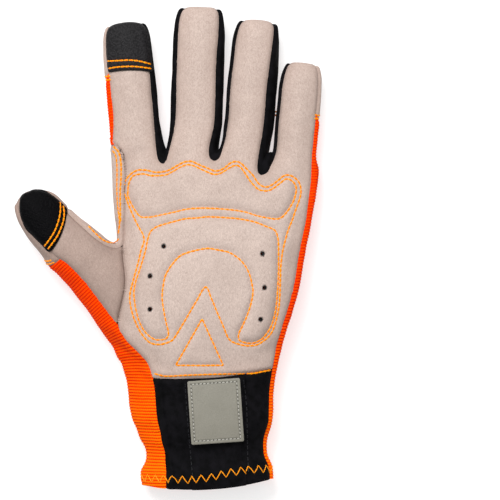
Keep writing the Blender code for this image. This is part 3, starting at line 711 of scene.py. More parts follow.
def add_finger(cage, number, root):
    """Adds one finger above its root ring, sewn from palm, cap, back and its two sides."""
    name = FINGERS[number]
    shape = FINGER_SHAPES[name]
    base_x, base_y = on_palm(shape.base, shape.base_along)
    base = Vector((base_x, base_y, 0.0))
    tip_x = shape.tip * PALM_WIDTH
    tip_y = base_y + math.sqrt(shape.reach**2 - (tip_x - base.x) ** 2)
    axis = (Vector((tip_x, tip_y, 0.0)) - base).normalized()
    root_middle = PARTING * ROOT_DEPTH * PALM_DEPTH

    cap = name + "_cap"
    patch = "index_tip_patch" if name == "index" else None
    left_side = GUSSETS[number - 1] if number > 0 else None
    right_side = GUSSETS[number] if number < len(GUSSETS) else None
    shaft = shape.reach - CAP_LENGTH
    stations = [(section, section.along * shaft, 0.0) for section in SHAFT_SECTIONS]
    stations += [(section, shaft + section.along * CAP_LENGTH, CAP_LAG * (section.along == 0))
                 for section in CAP_SECTIONS]
    low = root
    for section, distance, lag in stations:
        climb = distance / shape.reach
        centre = base + axis * distance
        centre.z = root_middle + (shape.depth / 2 - root_middle) * climb + shape.lift * climb * climb
        high = ring(cage, centre, axis, shape.width * section.width, shape.depth * section.depth,
                    (tapered(shape.thumb_inset, section.inset), tapered(shape.little_inset, section.inset)),
                    (0.0, lag, 0.0))
        capped = distance > shaft
        behind = cap if capped else "back_panel"
        left, right = left_side or behind, right_side or behind
        join_rings(cage, low, high,
                   ("palm_panel", "palm_panel", right, right, behind, behind, left, left),
                   patch if capped else None)
        low = high
    top = base + axis * shape.reach
    tip = cage.point(top.x, top.y, centre.z)
    close_tip(cage, low, tip, "palm_panel", cap, patch)


def add_thumb(cage, root):
    """Adds the thumb on the ring that the palm leaves open. Its left is the wrist side."""
    base, end = (Vector((*on_palm(*shares), 0.0)) for shares in (THUMB_BASE, THUMB_TIP))
    reach = (end - base).length
    axis = (end - base) / reach
    shaft = reach - THUMB_PATCH_LENGTH
    stations = [(section, section.along * reach) for section in THUMB_SHAFT]
    stations += [(section, shaft + section.along * THUMB_PATCH_LENGTH) for section in THUMB_TIP_SECTIONS]
    cap_start = THUMB_SHAFT[-1].along * reach
    low = root
    for section, distance in stations:
        climb = distance / reach
        centre = base + axis * distance + Vector((axis.y, -axis.x, 0.0)) * (section.aside * THUMB_WIDTH)
        centre.z = THUMB_HEIGHT + THUMB_LIFT * climb
        high = ring(cage, centre, axis, THUMB_WIDTH * section.width, THUMB_DEPTH * section.depth,
                    (section.palm_inset, section.crotch_inset),
                    (section.skew * THUMB_WIDTH, 0.0, section.seam_slide * THUMB_WIDTH))
        behind = "thumb_cap" if distance > cap_start else "back_panel"
        crotch, patch = "crotch_patch", None
        if distance > shaft:
            crotch, patch = "thumb_cap", "thumb_tip_patch"
        join_rings(cage, low, high, ("thumb_panel", "thumb_panel", crotch, crotch,
                                     behind, behind, behind, behind), patch)
        low = high
    tip = cage.point(end.x, end.y, centre.z)
    close_tip(cage, low, tip, "thumb_panel", "thumb_cap", patch)

# %% [markdown]
# The rows are joined last. Between the fingers the cage is closed with the gussets' own faces.

# %% Join the cage
def join_rows(cage, rows):
    """Closes the body between its rows, leaving the thumb's ring open."""
    for number, (low, high) in enumerate(zip(rows, rows[1:])):
        front, back, thumb_side, little_side = low
        next_front, next_back, next_thumb, next_little = high
        facing = "cuff_panel" if number < SEAM_ROW else "palm_panel"
        for c in range(COLUMNS - 1):
            strip = number < SEAM_ROW and STRIP_COLUMNS[0] <= c < STRIP_COLUMNS[1]
            cage.face(facing, front[c], front[c + 1], next_front[c + 1], next_front[c],
                      patch="wrist_strip" if strip else None)
            cage.face("back_panel", back[c + 1], back[c], next_back[c], next_back[c + 1])
        last = COLUMNS - 1
        cage.face("back_panel", front[last], little_side, next_little, next_front[last])
        cage.face("back_panel", little_side, back[last], next_back[last], next_little)
        if THUMB_LOW_ROW <= number < THUMB_HIGH_ROW:
            continue
        edge = "crotch_patch" if number >= THUMB_HIGH_ROW else "back_panel"
        cage.face(edge, thumb_side, front[0], next_front[0], next_thumb)
        cage.face(edge, back[0], thumb_side, next_thumb, next_back[0])


def make_cage():
    cage = Cage()
    rows = add_body(cage)
    top, saddles = root_row(cage)
    rows.append(top)
    join_rows(cage, rows)
    front, back, thumb_side, little_side = top
    for number in range(len(CROTCHES)):
        left, right = saddles[2 * number], saddles[2 * number + 1]
        c = 3 * number + 2
        cage.face(GUSSETS[number], front[c], front[c + 1], right, left)
        cage.face(GUSSETS[number], back[c + 1], back[c], left, right)
    sides = [thumb_side, *saddles, little_side]
    for number in range(len(FINGERS)):
        c = 3 * number
        add_finger(cage, number, [front[c], front[c + 1], front[c + 2], sides[2 * number + 1],
                                  back[c + 2], back[c + 1], back[c], sides[2 * number]])
    low, middle, high = (rows[THUMB_LOW_ROW + step] for step in range(3))
    add_thumb(cage, [low[0][0], middle[0][0], high[0][0], high[2],
                     high[1][0], middle[1][0], low[1][0], low[2]])
    return cage


cage = make_cage()
print("cage faces:", len(cage.faces))

# %% [markdown]
# ## The skin
# The smooth skin is made once and cut afterwards, so its panels meet exactly at their seams. A Subdivision
# Surface pulls the cage inward as it rounds it. So the corners are pushed out again, in a few rounds, until
# the smooth skin passes through the tables' own points.

# %% Smooth the cage
SKIN_LEVELS = 3
FIT_ROUNDS, FIT_STEP = 8, 0.8


def select_only(piece):
    bpy.ops.object.select_all(action="DESELECT")
    piece.select_set(True)
    bpy.context.view_layer.objects.active = piece


def points_of(mesh):
    points = np.empty(len(mesh.vertices) * 3)
    mesh.vertices.foreach_get("co", points)
    return points.reshape(-1, 3)


def normals_of(mesh):
    normals = np.empty(len(mesh.vertices) * 3)
    mesh.vertex_normals.foreach_get("vector", normals)
    return normals.reshape(-1, 3)


def move_points(mesh, points):
    mesh.vertices.foreach_set("co", points.ravel())
    mesh.update()


def store(mesh, name, values):
    """Gives each vertex its number, for materials and later steps to read."""
    mesh.attributes.new(name, "FLOAT", "POINT").data.foreach_set("value", values)


def stored(mesh, name):
    values = np.empty(len(mesh.vertices))
    mesh.attributes[name].data.foreach_get("value", values)
    return values


def new_piece(name, points, faces):
    mesh = bpy.data.meshes.new(name)
    mesh.from_pydata(points, [], faces)
    piece = bpy.data.objects.new(name, mesh)
    bpy.context.scene.collection.objects.link(piece)
    return piece


def lengths_up_to(places):
    """How far along a line each of its points lies."""
    return np.concatenate([[0.0], np.cumsum(np.linalg.norm(np.diff(places, axis=0), axis=1))])


def places_at(stops, reached, places):
    """Where one gets to on a line after these lengths."""
    return np.stack([np.interp(stops, reached, places[:, axis]) for axis in range(places.shape[1])], axis=-1)


def evenly(places, step):
    reached = lengths_up_to(places)
    stops = np.linspace(0.0, reached[-1], max(2, int(round(reached[-1] / step)) + 1))
    return places_at(stops, reached, places)


def smooth_skin(cage):
    skin = new_piece("glove_skin", cage.points, cage.faces)
    mesh = skin.data
    for panel in PANELS:
        mesh.materials.append(bpy.data.materials.new("panel_" + panel))
    mesh.polygons.foreach_set("material_index", cage.panels)
    mesh.attributes.new("patch", "INT", "FACE").data.foreach_set("value", cage.patches)
    smooth = skin.modifiers.new("smooth", "SUBSURF")
    smooth.levels = smooth.render_levels = SKIN_LEVELS
    wanted = np.array(cage.points)
    corners = wanted.copy()
    for _ in range(FIT_ROUNDS):
        move_points(mesh, corners)
        bpy.context.view_layer.update()
        reached = points_of(skin.evaluated_get(bpy.context.evaluated_depsgraph_get()).data)
        corners += FIT_STEP * (wanted - reached[: len(wanted)])
    select_only(skin)
    bpy.ops.object.modifier_apply(modifier="smooth")
    return skin


skin = smooth_skin(cage)
print("smooth skin:", len(skin.data.polygons), "faces")

# %% [markdown]
# Two seams beside the index finger run in curves that the cage's straight rows can't give: the crotch
# patch bulges towards the palm, and the knit's strip beside the finger tapers to nothing. Their points
# are drawn along the lines read off the photograph, and the cloth round them follows, as a rubber sheet
# would: each free point moves as far as its neighbours do on average. All slide on the skin itself.

# %% Draw two seams into place
CROTCH_SEAM = ((112.6, 144.6), (119.5, 147.8), (123.6, 154.6), (125.4, 162.5), (125.8, 170), (125.4, 177.5),
               (124.2, 185), (123.8, 192.3))
STRIP_SEAM = ((112.6, 144.6), (112.4, 138), (113.0, 125), (112.8, 115), (111.7, 105), (110.6, 95),
              (109.8, 86), (109.0, 78))
SLIDE_ROUNDS = 500
SLIDE_REGION = {"right": 158, "top": 66, "bottom": 214}  # in the photograph's pixels
LOWEST_SEAM = 0.004  # the same two panels also meet lower down, on the back


def pixels_of(points):
    """The photograph's column and row of each point."""
    return points[:, 0] / PIXEL + ZERO_PIXEL[0], ZERO_PIXEL[1] - points[:, 1] / PIXEL


def seam_between(mesh, first, second, low_row, high_row):
    """The points of the seam between two panels, on the index finger's side and between two rows of
    the photograph, from the one nearest to the finger's root on."""
    owners = {}
    for face in mesh.polygons:
        for key in face.edge_keys:
            owners.setdefault(key, set()).add(PANELS[face.material_index])
    found = set()
    for key, pair in owners.items():
        if pair == {first, second}:
            for number in key:
                point = mesh.vertices[number].co
                row = ZERO_PIXEL[1] - point.y / PIXEL
                if low_row < row < high_row and point.x < from_photo(140, 0).x and point.z > LOWEST_SEAM:
                    found.add(number)
    return sorted(found, key=lambda number: mesh.vertices[number].co.y)


def slide_seams(skin):
    mesh = skin.data
    points, normals = points_of(mesh), normals_of(mesh)
    original = BVHTree.FromPolygons([tuple(point) for point in points],
                                    [tuple(face.vertices) for face in mesh.polygons])
    root_row = ZERO_PIXEL[1] - on_palm(*ROOT_THUMB_SEAM)[1] / PIXEL
    wanted = {}
    crotch = seam_between(mesh, "palm_panel", "crotch_patch", root_row - 2, 196)[::-1]
    strip = seam_between(mesh, "palm_panel", "back_panel", 84, root_row + 2)
    for chain, line in ((crotch, CROTCH_SEAM), (strip, STRIP_SEAM)):
        places = evenly(np.array([from_photo(*pixel) for pixel in line]), 0.0003)
        stops = np.linspace(0, len(places) - 1, len(chain)).round().astype(int)
        wanted.update({number: places[stop] - points[number, :2] for number, stop in zip(chain, stops)})
    columns, rows = pixels_of(points)
    free = (normals[:, 2] > 0.12) & (columns < SLIDE_REGION["right"])
    free &= (rows > SLIDE_REGION["top"]) & (rows < SLIDE_REGION["bottom"])
    slide = np.zeros((len(points), 2))
    for number, move in wanted.items():
        free[number] = False
        slide[number] = move
    ends = np.array([edge.vertices[:] for edge in mesh.edges])
    ends = ends[free[ends].any(axis=1)]
    degree = np.zeros(len(points))
    np.add.at(degree, ends.ravel(), 1.0)
    for _ in range(SLIDE_ROUNDS):
        total = np.zeros_like(slide)
        np.add.at(total, ends[:, 0], slide[ends[:, 1]])
        np.add.at(total, ends[:, 1], slide[ends[:, 0]])
        slide[free] = total[free] / degree[free, None]
    for number in np.nonzero(np.abs(slide).max(axis=1) > 1e-6)[0]:
        x, y = points[number, :2] + slide[number]
        place, _, _, _ = original.ray_cast(Vector((x, y, 0.1)), Vector((0.0, 0.0, -1.0)))
        if place is not None and place.z > LOWEST_SEAM:
            points[number] = place
    move_points(mesh, points)
    print("seams drawn:", len(crotch), "and", len(strip), "points, most moved",
          round(float(np.abs(slide).max()) * 1000, 1), "mm")


slide_seams(skin)

# %% [markdown]
# Worn cloth is never even. The glove's main folds are pressed in along lines: at the wrist, at the thumb's
# root and below the fingers. Then two sizes of soft noise loosen the rest, and what hangs below the table
# is flattened on it.

# %% Folds and slack
MILLIMETRE = 0.001
RIB_HEIGHT = 0.00030  # of the knit's rows, which the glove rests on
CREASES = (
    # start and end in the photograph's pixels, depth and half width in millimetres, on the palm's side
    ((128, 162), (141, 153), 1.0, 2.4),
    ((134, 156), (152, 151), 0.5, 1.8),
    ((116, 118), (140, 112), 0.25, 2.4),
    ((176, 158), (192, 151), 0.8, 2.4),
    ((186, 122), (210, 119), 0.22, 2.6),
    ((222, 160), (240, 153), 0.8, 2.4),
    ((236, 116), (258, 112), 0.22, 2.6),
    ((272, 170), (290, 160), 0.8, 2.6),
    ((292, 128), (310, 124), 0.25, 2.4),
    ((128, 262), (150, 256), 0.5, 4.0),
    ((124, 320), (140, 331), 0.9, 3.5),
    ((150, 362), (176, 368), 0.6, 3.0),
    ((262, 352), (282, 346), 0.8, 3.5),
    ((58, 262), (80, 240), 0.5, 3.5),
    ((74, 292), (98, 262), 0.6, 4.0),
)
WRIST_FOLDS = (
    # the knit's folds on both sides of the wrist: the same columns, whichever way the cloth faces
    ((104, 330), (122, 344), 0.5, 1.7),
    ((116, 346), (139, 364), 1.0, 1.8),
    ((124, 362), (146, 380), 1.2, 2.0),
    ((128, 398), (150, 402), 0.4, 3.0),
    ((136, 428), (158, 432), 0.5, 3.0),
    ((144, 448), (166, 452), 0.7, 3.2),
    ((250, 440), (268, 436), 0.6, 3.2),
)


def bell(away, width):
    """1 at no distance, about a third at one width, and next to nothing at two."""
    return np.exp(-((away / width) ** 2))


def distance_to_run(points, start, end):
    """How far points lie from a straight run, seen from above."""
    run = np.array(end) - np.array(start)
    share = np.clip((points[:, :2] - start) @ run / (run @ run), 0.0, 1.0)
    return np.linalg.norm(points[:, :2] - start - share[:, None] * run, axis=1)


def press_folds(points, normals):
    """Pushes in the folds that the CAD model has too."""
    for fold in FOLDS:
        away = distance_to_run(points, on_palm(*fold.start), on_palm(*fold.end))
        depth = fold.depth * PALM_DEPTH * bell(away, fold.half_width * PALM_DEPTH)
        facing = np.clip(normals[:, 2] if fold.front else -normals[:, 2], 0.0, 1.0)
        points -= normals * (depth * np.sqrt(facing))[:, None]


def slack(points, size, seed):
    return np.array([noise.noise(Vector(point) / size + Vector((seed, 0.3, 7.1))) for point in points])


def loosen(skin):
    mesh = skin.data
    points, normals = points_of(mesh), normals_of(mesh)
    sunk = np.zeros(len(points))
    facing = np.clip(normals[:, 2], 0.0, 1.0)
    for start, end, depth, half_width in CREASES:
        away = distance_to_run(points, from_photo(*start), from_photo(*end))
        sunk += depth * MILLIMETRE * bell(away, half_width * MILLIMETRE) * facing
    for start, end, depth, half_width in WRIST_FOLDS:
        away = distance_to_run(points, from_photo(*start), from_photo(*end)) / (half_width * MILLIMETRE)
        shape = bell(away, 1.0) - 0.45 * bell(away - 1.9, 1.0)  # a fold, and a low swell on each side
        sunk += depth * MILLIMETRE * shape * (0.5 + 0.5 * np.abs(normals[:, 2]))
    loose = 0.00045 * slack(points, 0.016, 1.0) + 0.00022 * slack(points, 0.0065, 4.0)
    points += normals * (loose - sunk)[:, None]
    press_folds(points, normals)
    points[:, 2] = np.maximum(points[:, 2], RIB_HEIGHT * 0.6)
    move_points(mesh, points)


loosen(skin)

# %% [markdown]
# Each point now gets its place in the cloth: how far it lies along the hand and across it. On a finger or
# the thumb those run with its own axis. The normals are stored too, because every panel is pushed in and
# out along them later, and two panels that share a seam have to move together.

# %% Where each point lies in the cloth
def finger_axes():
    """Base, direction and length of the four fingers, then of the thumb."""
    axes = []
    for name in FINGERS:
        shape = FINGER_SHAPES[name]
        base = np.array(on_palm(shape.base, shape.base_along))
        sideways = (shape.tip - shape.base) * PALM_WIDTH
        direction = np.array((sideways, math.sqrt(shape.reach**2 - sideways**2)))
        axes.append((base, direction / shape.reach, shape.reach))
    base, end = (np.array(on_palm(*shares)) for shares in (THUMB_BASE, THUMB_TIP))
    reach = float(np.linalg.norm(end - base))
    return axes, (base, (end - base) / reach, reach)


FINGER_AXES, THUMB_AXIS = finger_axes()


def along_and_across(points, base, direction):
    away = points[:, :2] - base
    return base[1] + away @ direction, base[0] + away @ np.array((direction[1], -direction[0]))


def rise(value, low, high):
    """0 at low, 1 at high and a smooth way between."""
    share = np.clip((value - low) / (high - low), 0.0, 1.0)
    return share * share * (3.0 - 2.0 * share)


def place_in_cloth(mesh):
    points = points_of(mesh)
    along, across = points[:, 1].copy(), points[:, 0].copy()
    places = [along_and_across(points, base, direction) for base, direction, _ in FINGER_AXES]
    off_axis = [np.abs(place[1] - axis[0][0]) for place, axis in zip(places, FINGER_AXES)]
    nearest = np.argmin(off_axis, axis=0)
    for number, (finger_along, finger_across) in enumerate(places):
        beyond = finger_along - FINGER_AXES[number][0][1]
        share = np.where(nearest == number, rise(beyond, -0.004, 0.010), 0.0)
        along += share * (finger_along - along)
        across += share * (finger_across - across)
    base, direction, _ = THUMB_AXIS
    thumb_along, thumb_across = along_and_across(points, base, direction)
    share = rise(thumb_along - base[1], -0.052, -0.006) * (1.0 - rise(thumb_across - base[0], 0.010, 0.036))
    along += share * (thumb_along - along)
    across += share * (thumb_across - across)
    store(mesh, "along", along)
    store(mesh, "across", across)
    mesh.attributes.new("skin_normal", "FLOAT_VECTOR", "POINT").data.foreach_set(
        "vector", normals_of(mesh).ravel())


PLAIN_DEPTH = 0.8  # of a seam, in the measure of the deeper ones that follow
DEEP_SEAMS = {("palm_panel", "thumb_panel"): 2.2, ("palm_panel", "crotch_patch"): 1.9,
              ("thumb_panel", "crotch_patch"): 1.3, ("palm_panel", "cuff_panel"): 1.2}


def search_tree(points):
    tree = KDTree(len(points))
    for number, point in enumerate(points):
        tree.insert(point, number)
    tree.balance()
    return tree


def seam_points(mesh):
    """A search tree of points along every edge where two panels meet, and how deep each one lies."""
    panel = np.empty(len(mesh.polygons), dtype=int)
    mesh.polygons.foreach_get("material_index", panel)
    sides = {}
    for face in mesh.polygons:
        for key in face.edge_keys:
            sides.setdefault(key, []).append(panel[face.index])
    found, depths = [], []
    for (a, b), owners in sides.items():
        if len(owners) == 2 and owners[0] != owners[1]:
            pair = tuple(sorted((PANELS[owners[0]], PANELS[owners[1]]), key=PANELS.index))
            first, last = mesh.vertices[a].co, mesh.vertices[b].co
            found += [first.lerp(last, share) for share in (0.0, 0.33, 0.67)]
            depths += [DEEP_SEAMS.get(pair, PLAIN_DEPTH)] * 3
    return search_tree(found), np.array(depths)


place_in_cloth(skin.data)
seams, seam_depths = seam_points(skin.data)
print("cloth laid out along the hand, the fingers and the thumb")

# %% [markdown]
# ## Cutting the panels
# Separating by material cuts the skin at its seams, as a glove maker cuts cloth to a pattern. The patches
# and the wrist strip are laid over panels, so their faces are copied off the skin first.

# %% Separate by panel
@contextmanager
def opened(mesh):
    """The mesh as a bmesh, written back when the work on it is done."""
    builder = bmesh.new()
    builder.from_mesh(mesh)
    yield builder
    builder.to_mesh(mesh)
    builder.free()


def copy_of_patch(number, name):
    """A copy of the skin with only the faces that a patch covers."""
    piece = skin.copy()
    piece.data = skin.data.copy()
    piece.name = piece.data.name = name
    bpy.context.scene.collection.objects.link(piece)
    with opened(piece.data) as builder:
        mark = builder.faces.layers.int["patch"]
        others = [face for face in builder.faces if face[mark] != number]
        bmesh.ops.delete(builder, geom=others, context="FACES")
    return piece


patches = {"wrist_strip": copy_of_patch(PATCHES.index("wrist_strip"), "wrist_strip_cover")}
select_only(skin)
bpy.ops.object.mode_set(mode="EDIT")
bpy.ops.mesh.select_all(action="SELECT")
bpy.ops.mesh.separate(type="MATERIAL")
bpy.ops.object.mode_set(mode="OBJECT")
panels = {}
for cut in list(bpy.context.selected_objects):
    panel = cut.data.materials[0].name.replace("panel_", "")
    cut.name = cut.data.name = panel + "_cloth"
    panels[panel] = cut
print("panels:", sorted(panels))

# %% [markdown]
# Every panel dips where it is sewn to the next and swells a little beside the seam, because the stitching
# pulls the edges down and under. One more Subdivision gives enough points for that. After it the panel
# gets its wall, and its outer face is kept in a search tree, so that stitches can find the surface.

# %% Refine, roll the edges and add the wall
outer_faces = {}


def refine(piece):
    select_only(piece)
    finer = piece.modifiers.new("finer", "SUBSURF")
    finer.levels = finer.render_levels = 1
    bpy.ops.object.modifier_apply(modifier="finer")


def distance_to_seams(points):
    return np.array([seams.find(point)[2] for point in points])


DEEP = 1.45  # seams deeper than this are pulled into a narrow crease
GROOVE, GROOVE_WIDTH, GROOVE_NARROWS = 0.00075, 0.0009, 0.00035
SWELL, SWELL_AWAY, SWELL_WIDTH = 0.00025, 0.0026, 0.0014
VALLEY, VALLEY_WIDTH = 0.0009, 0.0030
LOWEST = 0.00002  # the cloth stays this much above the table
PAINTED_SHADE_REACH = 0.006  # how far from a seam the suede's darker shade fades
CUT_BESIDE_SEAMS = ("palm_panel", "crotch_patch", "thumb_panel")


def seam_roll(points):
    """How far the surface moves out beside the seams: down at the stitching and up a little further off."""
    found = [seams.find_n(point, 6) for point in points]
    away = np.array([near[0][2] for near in found])
    depth = np.array([np.mean([seam_depths[number] for _, number, _ in near]) for near in found])
    narrow = rise(depth, 1.2, 1.6)
    groove = GROOVE * bell(away, GROOVE_WIDTH - GROOVE_NARROWS * narrow)
    swell = SWELL * bell(away - SWELL_AWAY, SWELL_WIDTH)
    valley = VALLEY * rise(depth, 1.9, 2.2) * bell(away, VALLEY_WIDTH)
    return depth * (swell - groove) - valley


def push(mesh, heights):
    outward = np.empty(len(mesh.vertices) * 3)
    mesh.attributes["skin_normal"].data.foreach_get("vector", outward)
    points = points_of(mesh) + outward.reshape(-1, 3) * heights[:, None]
    points[:, 2] = np.maximum(points[:, 2], LOWEST)
    move_points(mesh, points)


def remember_outside(name, mesh):
    outer_faces[name] = ([vertex.co.copy() for vertex in mesh.vertices],
                         [tuple(face.vertices) for face in mesh.polygons])


def add_wall(piece, thickness):
    select_only(piece)
    wall = piece.modifiers.new("wall", "SOLIDIFY")
    wall.thickness = thickness
    wall.offset = -1.0
    bpy.ops.object.modifier_apply(modifier="wall")


def dress(piece, finish):
    piece.data.materials.clear()
    piece.data.materials.append(finish)
    piece.data.shade_smooth()
    piece.data.set_sharp_from_angle(angle=math.radians(65))
    return piece


def cut_beside_deep_seams(piece):
    """Cuts the edges beside the deep seams in four, on both sides of a seam at the same places."""
    with opened(piece.data) as builder:
        for reach in (0.0022, 0.0013):
            edges = []
            for edge in builder.edges:
                near = [seams.find(point.co) for point in edge.verts]
                if all(away < reach and seam_depths[number] > DEEP for _, number, away in near):
                    edges.append(edge)
            bmesh.ops.subdivide_edges(builder, edges=edges, cuts=1, use_grid_fill=True)


def finish_cloth(name, piece, heights, thickness, finish, pierce=None):
    """Moves the outer face out, keeps it for the stitches, and gives it its wall and its finish."""
    push(piece.data, heights)
    remember_outside(name, piece.data)
    if pierce is not None:
        pierce(piece)
    add_wall(piece, thickness)
    return dress(piece, finish)


def sew_panel(name, finish, relief=None, pierce=None):
    """A panel with its rolled seams. relief adds its own heights, and pierce cuts holes in it."""
    piece = panels[name]
    refine(piece)
    if name in CUT_BESIDE_SEAMS:
        cut_beside_deep_seams(piece)
    points = points_of(piece.data)
    # How near a seam each point lies, for the suede's painted shade beside its seams.
    store(piece.data, "seam", np.exp(-distance_to_seams(points) / PAINTED_SHADE_REACH))
    heights = seam_roll(points)
    if relief is not None:
        heights = heights + relief(points)
    return finish_cloth(name, piece, heights, WALLS[name], finish, pierce)


for name in ("crotch_patch", "index_cap", "middle_cap", "ring_cap", "little_cap"):
    sew_panel(name, suede)
for name in ("thumb_panel", "thumb_cap"):
    sew_panel(name, thumb_suede)
for name in GUSSETS:
    sew_panel(name, stretch)
print("plain panels:", sum(len(piece.data.polygons) for piece in panels.values()), "faces so far")

# %% [markdown]
# ## The padded palm
# Foam pads lie behind the palm's suede, and lines of orange stitching quilt it to them: a wide pad under
# the knuckles, an arch round the hollow of the hand, and a triangle at the heel. The lines are read off
# the photograph. The suede sinks along them and rises between them, by its distance from each line.

# %% Quilting lines
OUTER_LINE = (
    (124.8, 192), (125.1, 184.4), (127.7, 178), (132.8, 173), (138.5, 170.4), (144.2, 170.3), (149.3, 171),
    (155.7, 172.6), (162, 172.3), (169, 170.7), (175.5, 167), (183, 163), (187.6, 161.8), (192.7, 162),
    (199.7, 165.3), (209.3, 169.1), (214.9, 171.4), (220.7, 170.3), (225.7, 167.4), (230.7, 163.3),
    (235.7, 161.9), (240.6, 163.3), (246.4, 169), (253, 175.7), (257.2, 182.3), (261.4, 186), (266.3, 187.3),
    (272, 185.2), (278, 180.7), (283, 176.5), (288, 175.3), (293, 177), (297.8, 181), (300.3, 186.5),
    (300.7, 194), (298.7, 201.4), (295.4, 210.5), (292, 220.5), (288, 230.4), (285, 241), (282.3, 252.5),
    (280.6, 267), (280, 285), (279, 305), (275, 324), (270, 334.5), (263.8, 340.3), (256.3, 344.5),
    (248, 345.3), (239.8, 344), (231.5, 340.7), (227.3, 335.4), (224, 327), (217.4, 312), (211.6, 298),
    (205.8, 286.8), (195.9, 302.5), (187.6, 316.5), (180, 329.3), (174.2, 338.2), (169, 341.7), (159.4, 344),
    (150, 341.7), (142, 333), (135.5, 320), (131.5, 306), (130.7, 294.6), (134, 280), (138.7, 262.8),
    (141.8, 250), (144, 244), (144.7, 239.4), (143.2, 234), (138, 225), (132.5, 213.4), (128, 202.7),
)
KNUCKLE_PAD = (
    (128.3, 190.8), (129, 184.4), (132, 177.4), (136.6, 175), (144.2, 174.2), (150.6, 175.8), (158.3, 176),
    (166, 175.2), (172.3, 172.3), (178.7, 168.5), (186.3, 165.3), (192, 165.6), (199, 168.5), (209.5, 173.2),
    (215, 174.7), (220.7, 173.6), (227.4, 169.5), (234.8, 165.8), (239.8, 167), (244.8, 173.2),
    (249.8, 180.7), (255.6, 187.3), (259.7, 190.2), (266.3, 191.2), (272, 189.4), (278.8, 184.4),
    (286.2, 179.2), (292, 181.3), (295.8, 186.5), (295.8, 193), (293.3, 201.4), (288, 210.5), (282, 217.2),
    (276.3, 219.2), (268, 218.2), (258, 216.3), (246.4, 212.6), (234.8, 210.5), (225, 209.5), (212.4, 208.7),
    (200.4, 208.4), (186.3, 209.6), (176, 212), (160.8, 215.4), (150.6, 217.3), (142.3, 217.3),
    (138.5, 214.7), (134.7, 209.3), (130.8, 202.3), (128.3, 196),
)
ARCH_PAD = (
    (149, 236.7), (151.3, 231.3), (155.7, 227.8), (160.8, 225.6), (168.5, 223.3), (177.4, 221), (185.7, 219),
    (199, 218), (208, 217), (220.7, 217.6), (237.3, 218.8), (254, 222), (266.3, 226.7), (275, 230.8),
    (278, 239.6), (278.4, 249.5), (278.4, 268.6), (277.5, 290), (275.5, 310), (271, 326), (264.2, 336.2),
    (260.5, 339.5), (253.8, 342.4), (246.4, 342.4), (239.3, 339.5), (239, 333), (243, 324.6), (248, 313),
    (251.4, 301.4), (253, 291.4), (251.8, 283), (249, 273), (244, 264), (237.3, 257.4), (229, 252.4),
    (218.2, 250), (207, 248.6), (192, 251.5), (180.6, 256), (173, 264), (167.2, 273), (164.6, 281),
    (163, 292.3), (163, 300.6), (164.6, 311.4), (166.6, 321.6), (168.5, 329.3), (168.8, 335), (166, 338.5),
    (159.4, 339.3), (155.7, 339), (150, 335.7), (144.2, 329.3), (139.8, 320.4), (136.6, 309), (135, 298.7),
    (134.7, 291), (136.3, 282), (139.8, 271.3), (143, 261), (146, 250.8), (147.4, 243.8),
)
HEEL_TRIANGLE = ((202.5, 318.5), (223.5, 364.8), (176.2, 364.8))
HEEL_LINE = ((154.7, 372.8), (160, 374.4), (167.4, 375.6), (191.3, 374.4), (220, 373.5), (250, 373),
             (262, 371.2), (270.7, 369.6))
VENT_PIXELS = ((164.2, 246.3), (150.7, 275.8), (150.7, 308.8), (262.4, 253.7), (264.5, 287.5), (260.6, 319))


def on_table(pixels):
    return np.array([from_photo(*pixel) for pixel in pixels])


LINE_STEP = 0.0006


def rounded(line, closed=False, step=LINE_STEP):
    """The line as evenly spaced points, curved through its corners."""
    count = len(line)
    places = []
    for number in range(count if closed else count - 1):
        before, here, there, beyond = (
            line[(number + shift) % count] if closed else line[min(max(number + shift, 0), count - 1)]
            for shift in (-1, 0, 1, 2)
        )
        for share in np.arange(0.0, 1.0, 0.1):
            places.append(0.5 * (2 * here + (there - before) * share
                                 + (2 * before - 5 * here + 4 * there - beyond) * share**2
                                 + (3 * here - before - 3 * there + beyond) * share**3))
    places.append(line[0] if closed else line[-1])
    return evenly(np.array(places), step)


def polygon(corners):
    """A closed line with sharp corners."""
    return evenly(np.vstack([corners, corners[:1]]), LINE_STEP)


QUILTING = {
    "outer_line": rounded(on_table(OUTER_LINE), True),
    "knuckle_pad": rounded(on_table(KNUCKLE_PAD), True),
    "arch_pad": rounded(on_table(ARCH_PAD), True),
    "heel_triangle": polygon(on_table(HEEL_TRIANGLE)),
    "heel_line": rounded(on_table(HEEL_LINE)),
}
print("quilting in mm:", {name: round(len(line) * LINE_STEP * 1000) for name, line in QUILTING.items()})

# %% Raise the pads
STITCHED_DEPTHS = {  # of the lines, in millimetres
    "outer_line": 0.55, "knuckle_pad": 0.75, "arch_pad": 0.75, "heel_triangle": 0.7, "heel_line": 0.45,
}
STITCHED_WIDTH = 0.0011
PAD_HEIGHTS = {"knuckle_pad": 1.1, "arch_pad": 1.0, "heel_triangle": 0.45}  # in millimetres
PAD_SLOPE = 0.0048  # from a pad's edge to its full height
HOLLOW_HEIGHT, HOLLOW_SLOPE = 0.0004, 0.004
VENT_RADIUS = 0.00094
VENT_NEAR = (0.00062, 0.0015)  # points between these distances move onto the hole's edge
VENT_DIP = 0.00035
VENT_FINE, VENT_GONE = 0.0042, 0.00086  # faces this near are cut finer, and this near go


def distance_to_line(points, line):
    tree = search_tree([(x, y, 0.0) for x, y in line])
    return np.array([tree.find((x, y, 0.0))[2] for x, y in points[:, :2]])


def inside(points, line):
    """True for the points that the closed line goes round."""
    x, y = points[:, 0], points[:, 1]
    odd = np.zeros(len(points), dtype=bool)
    for (x1, y1), (x2, y2) in zip(line, np.roll(line, -1, axis=0)):
        if y1 != y2:
            crosses = (y1 > y) != (y2 > y)
            odd ^= crosses & (x < (x2 - x1) * (y - y1) / (y2 - y1) + x1)
    return odd


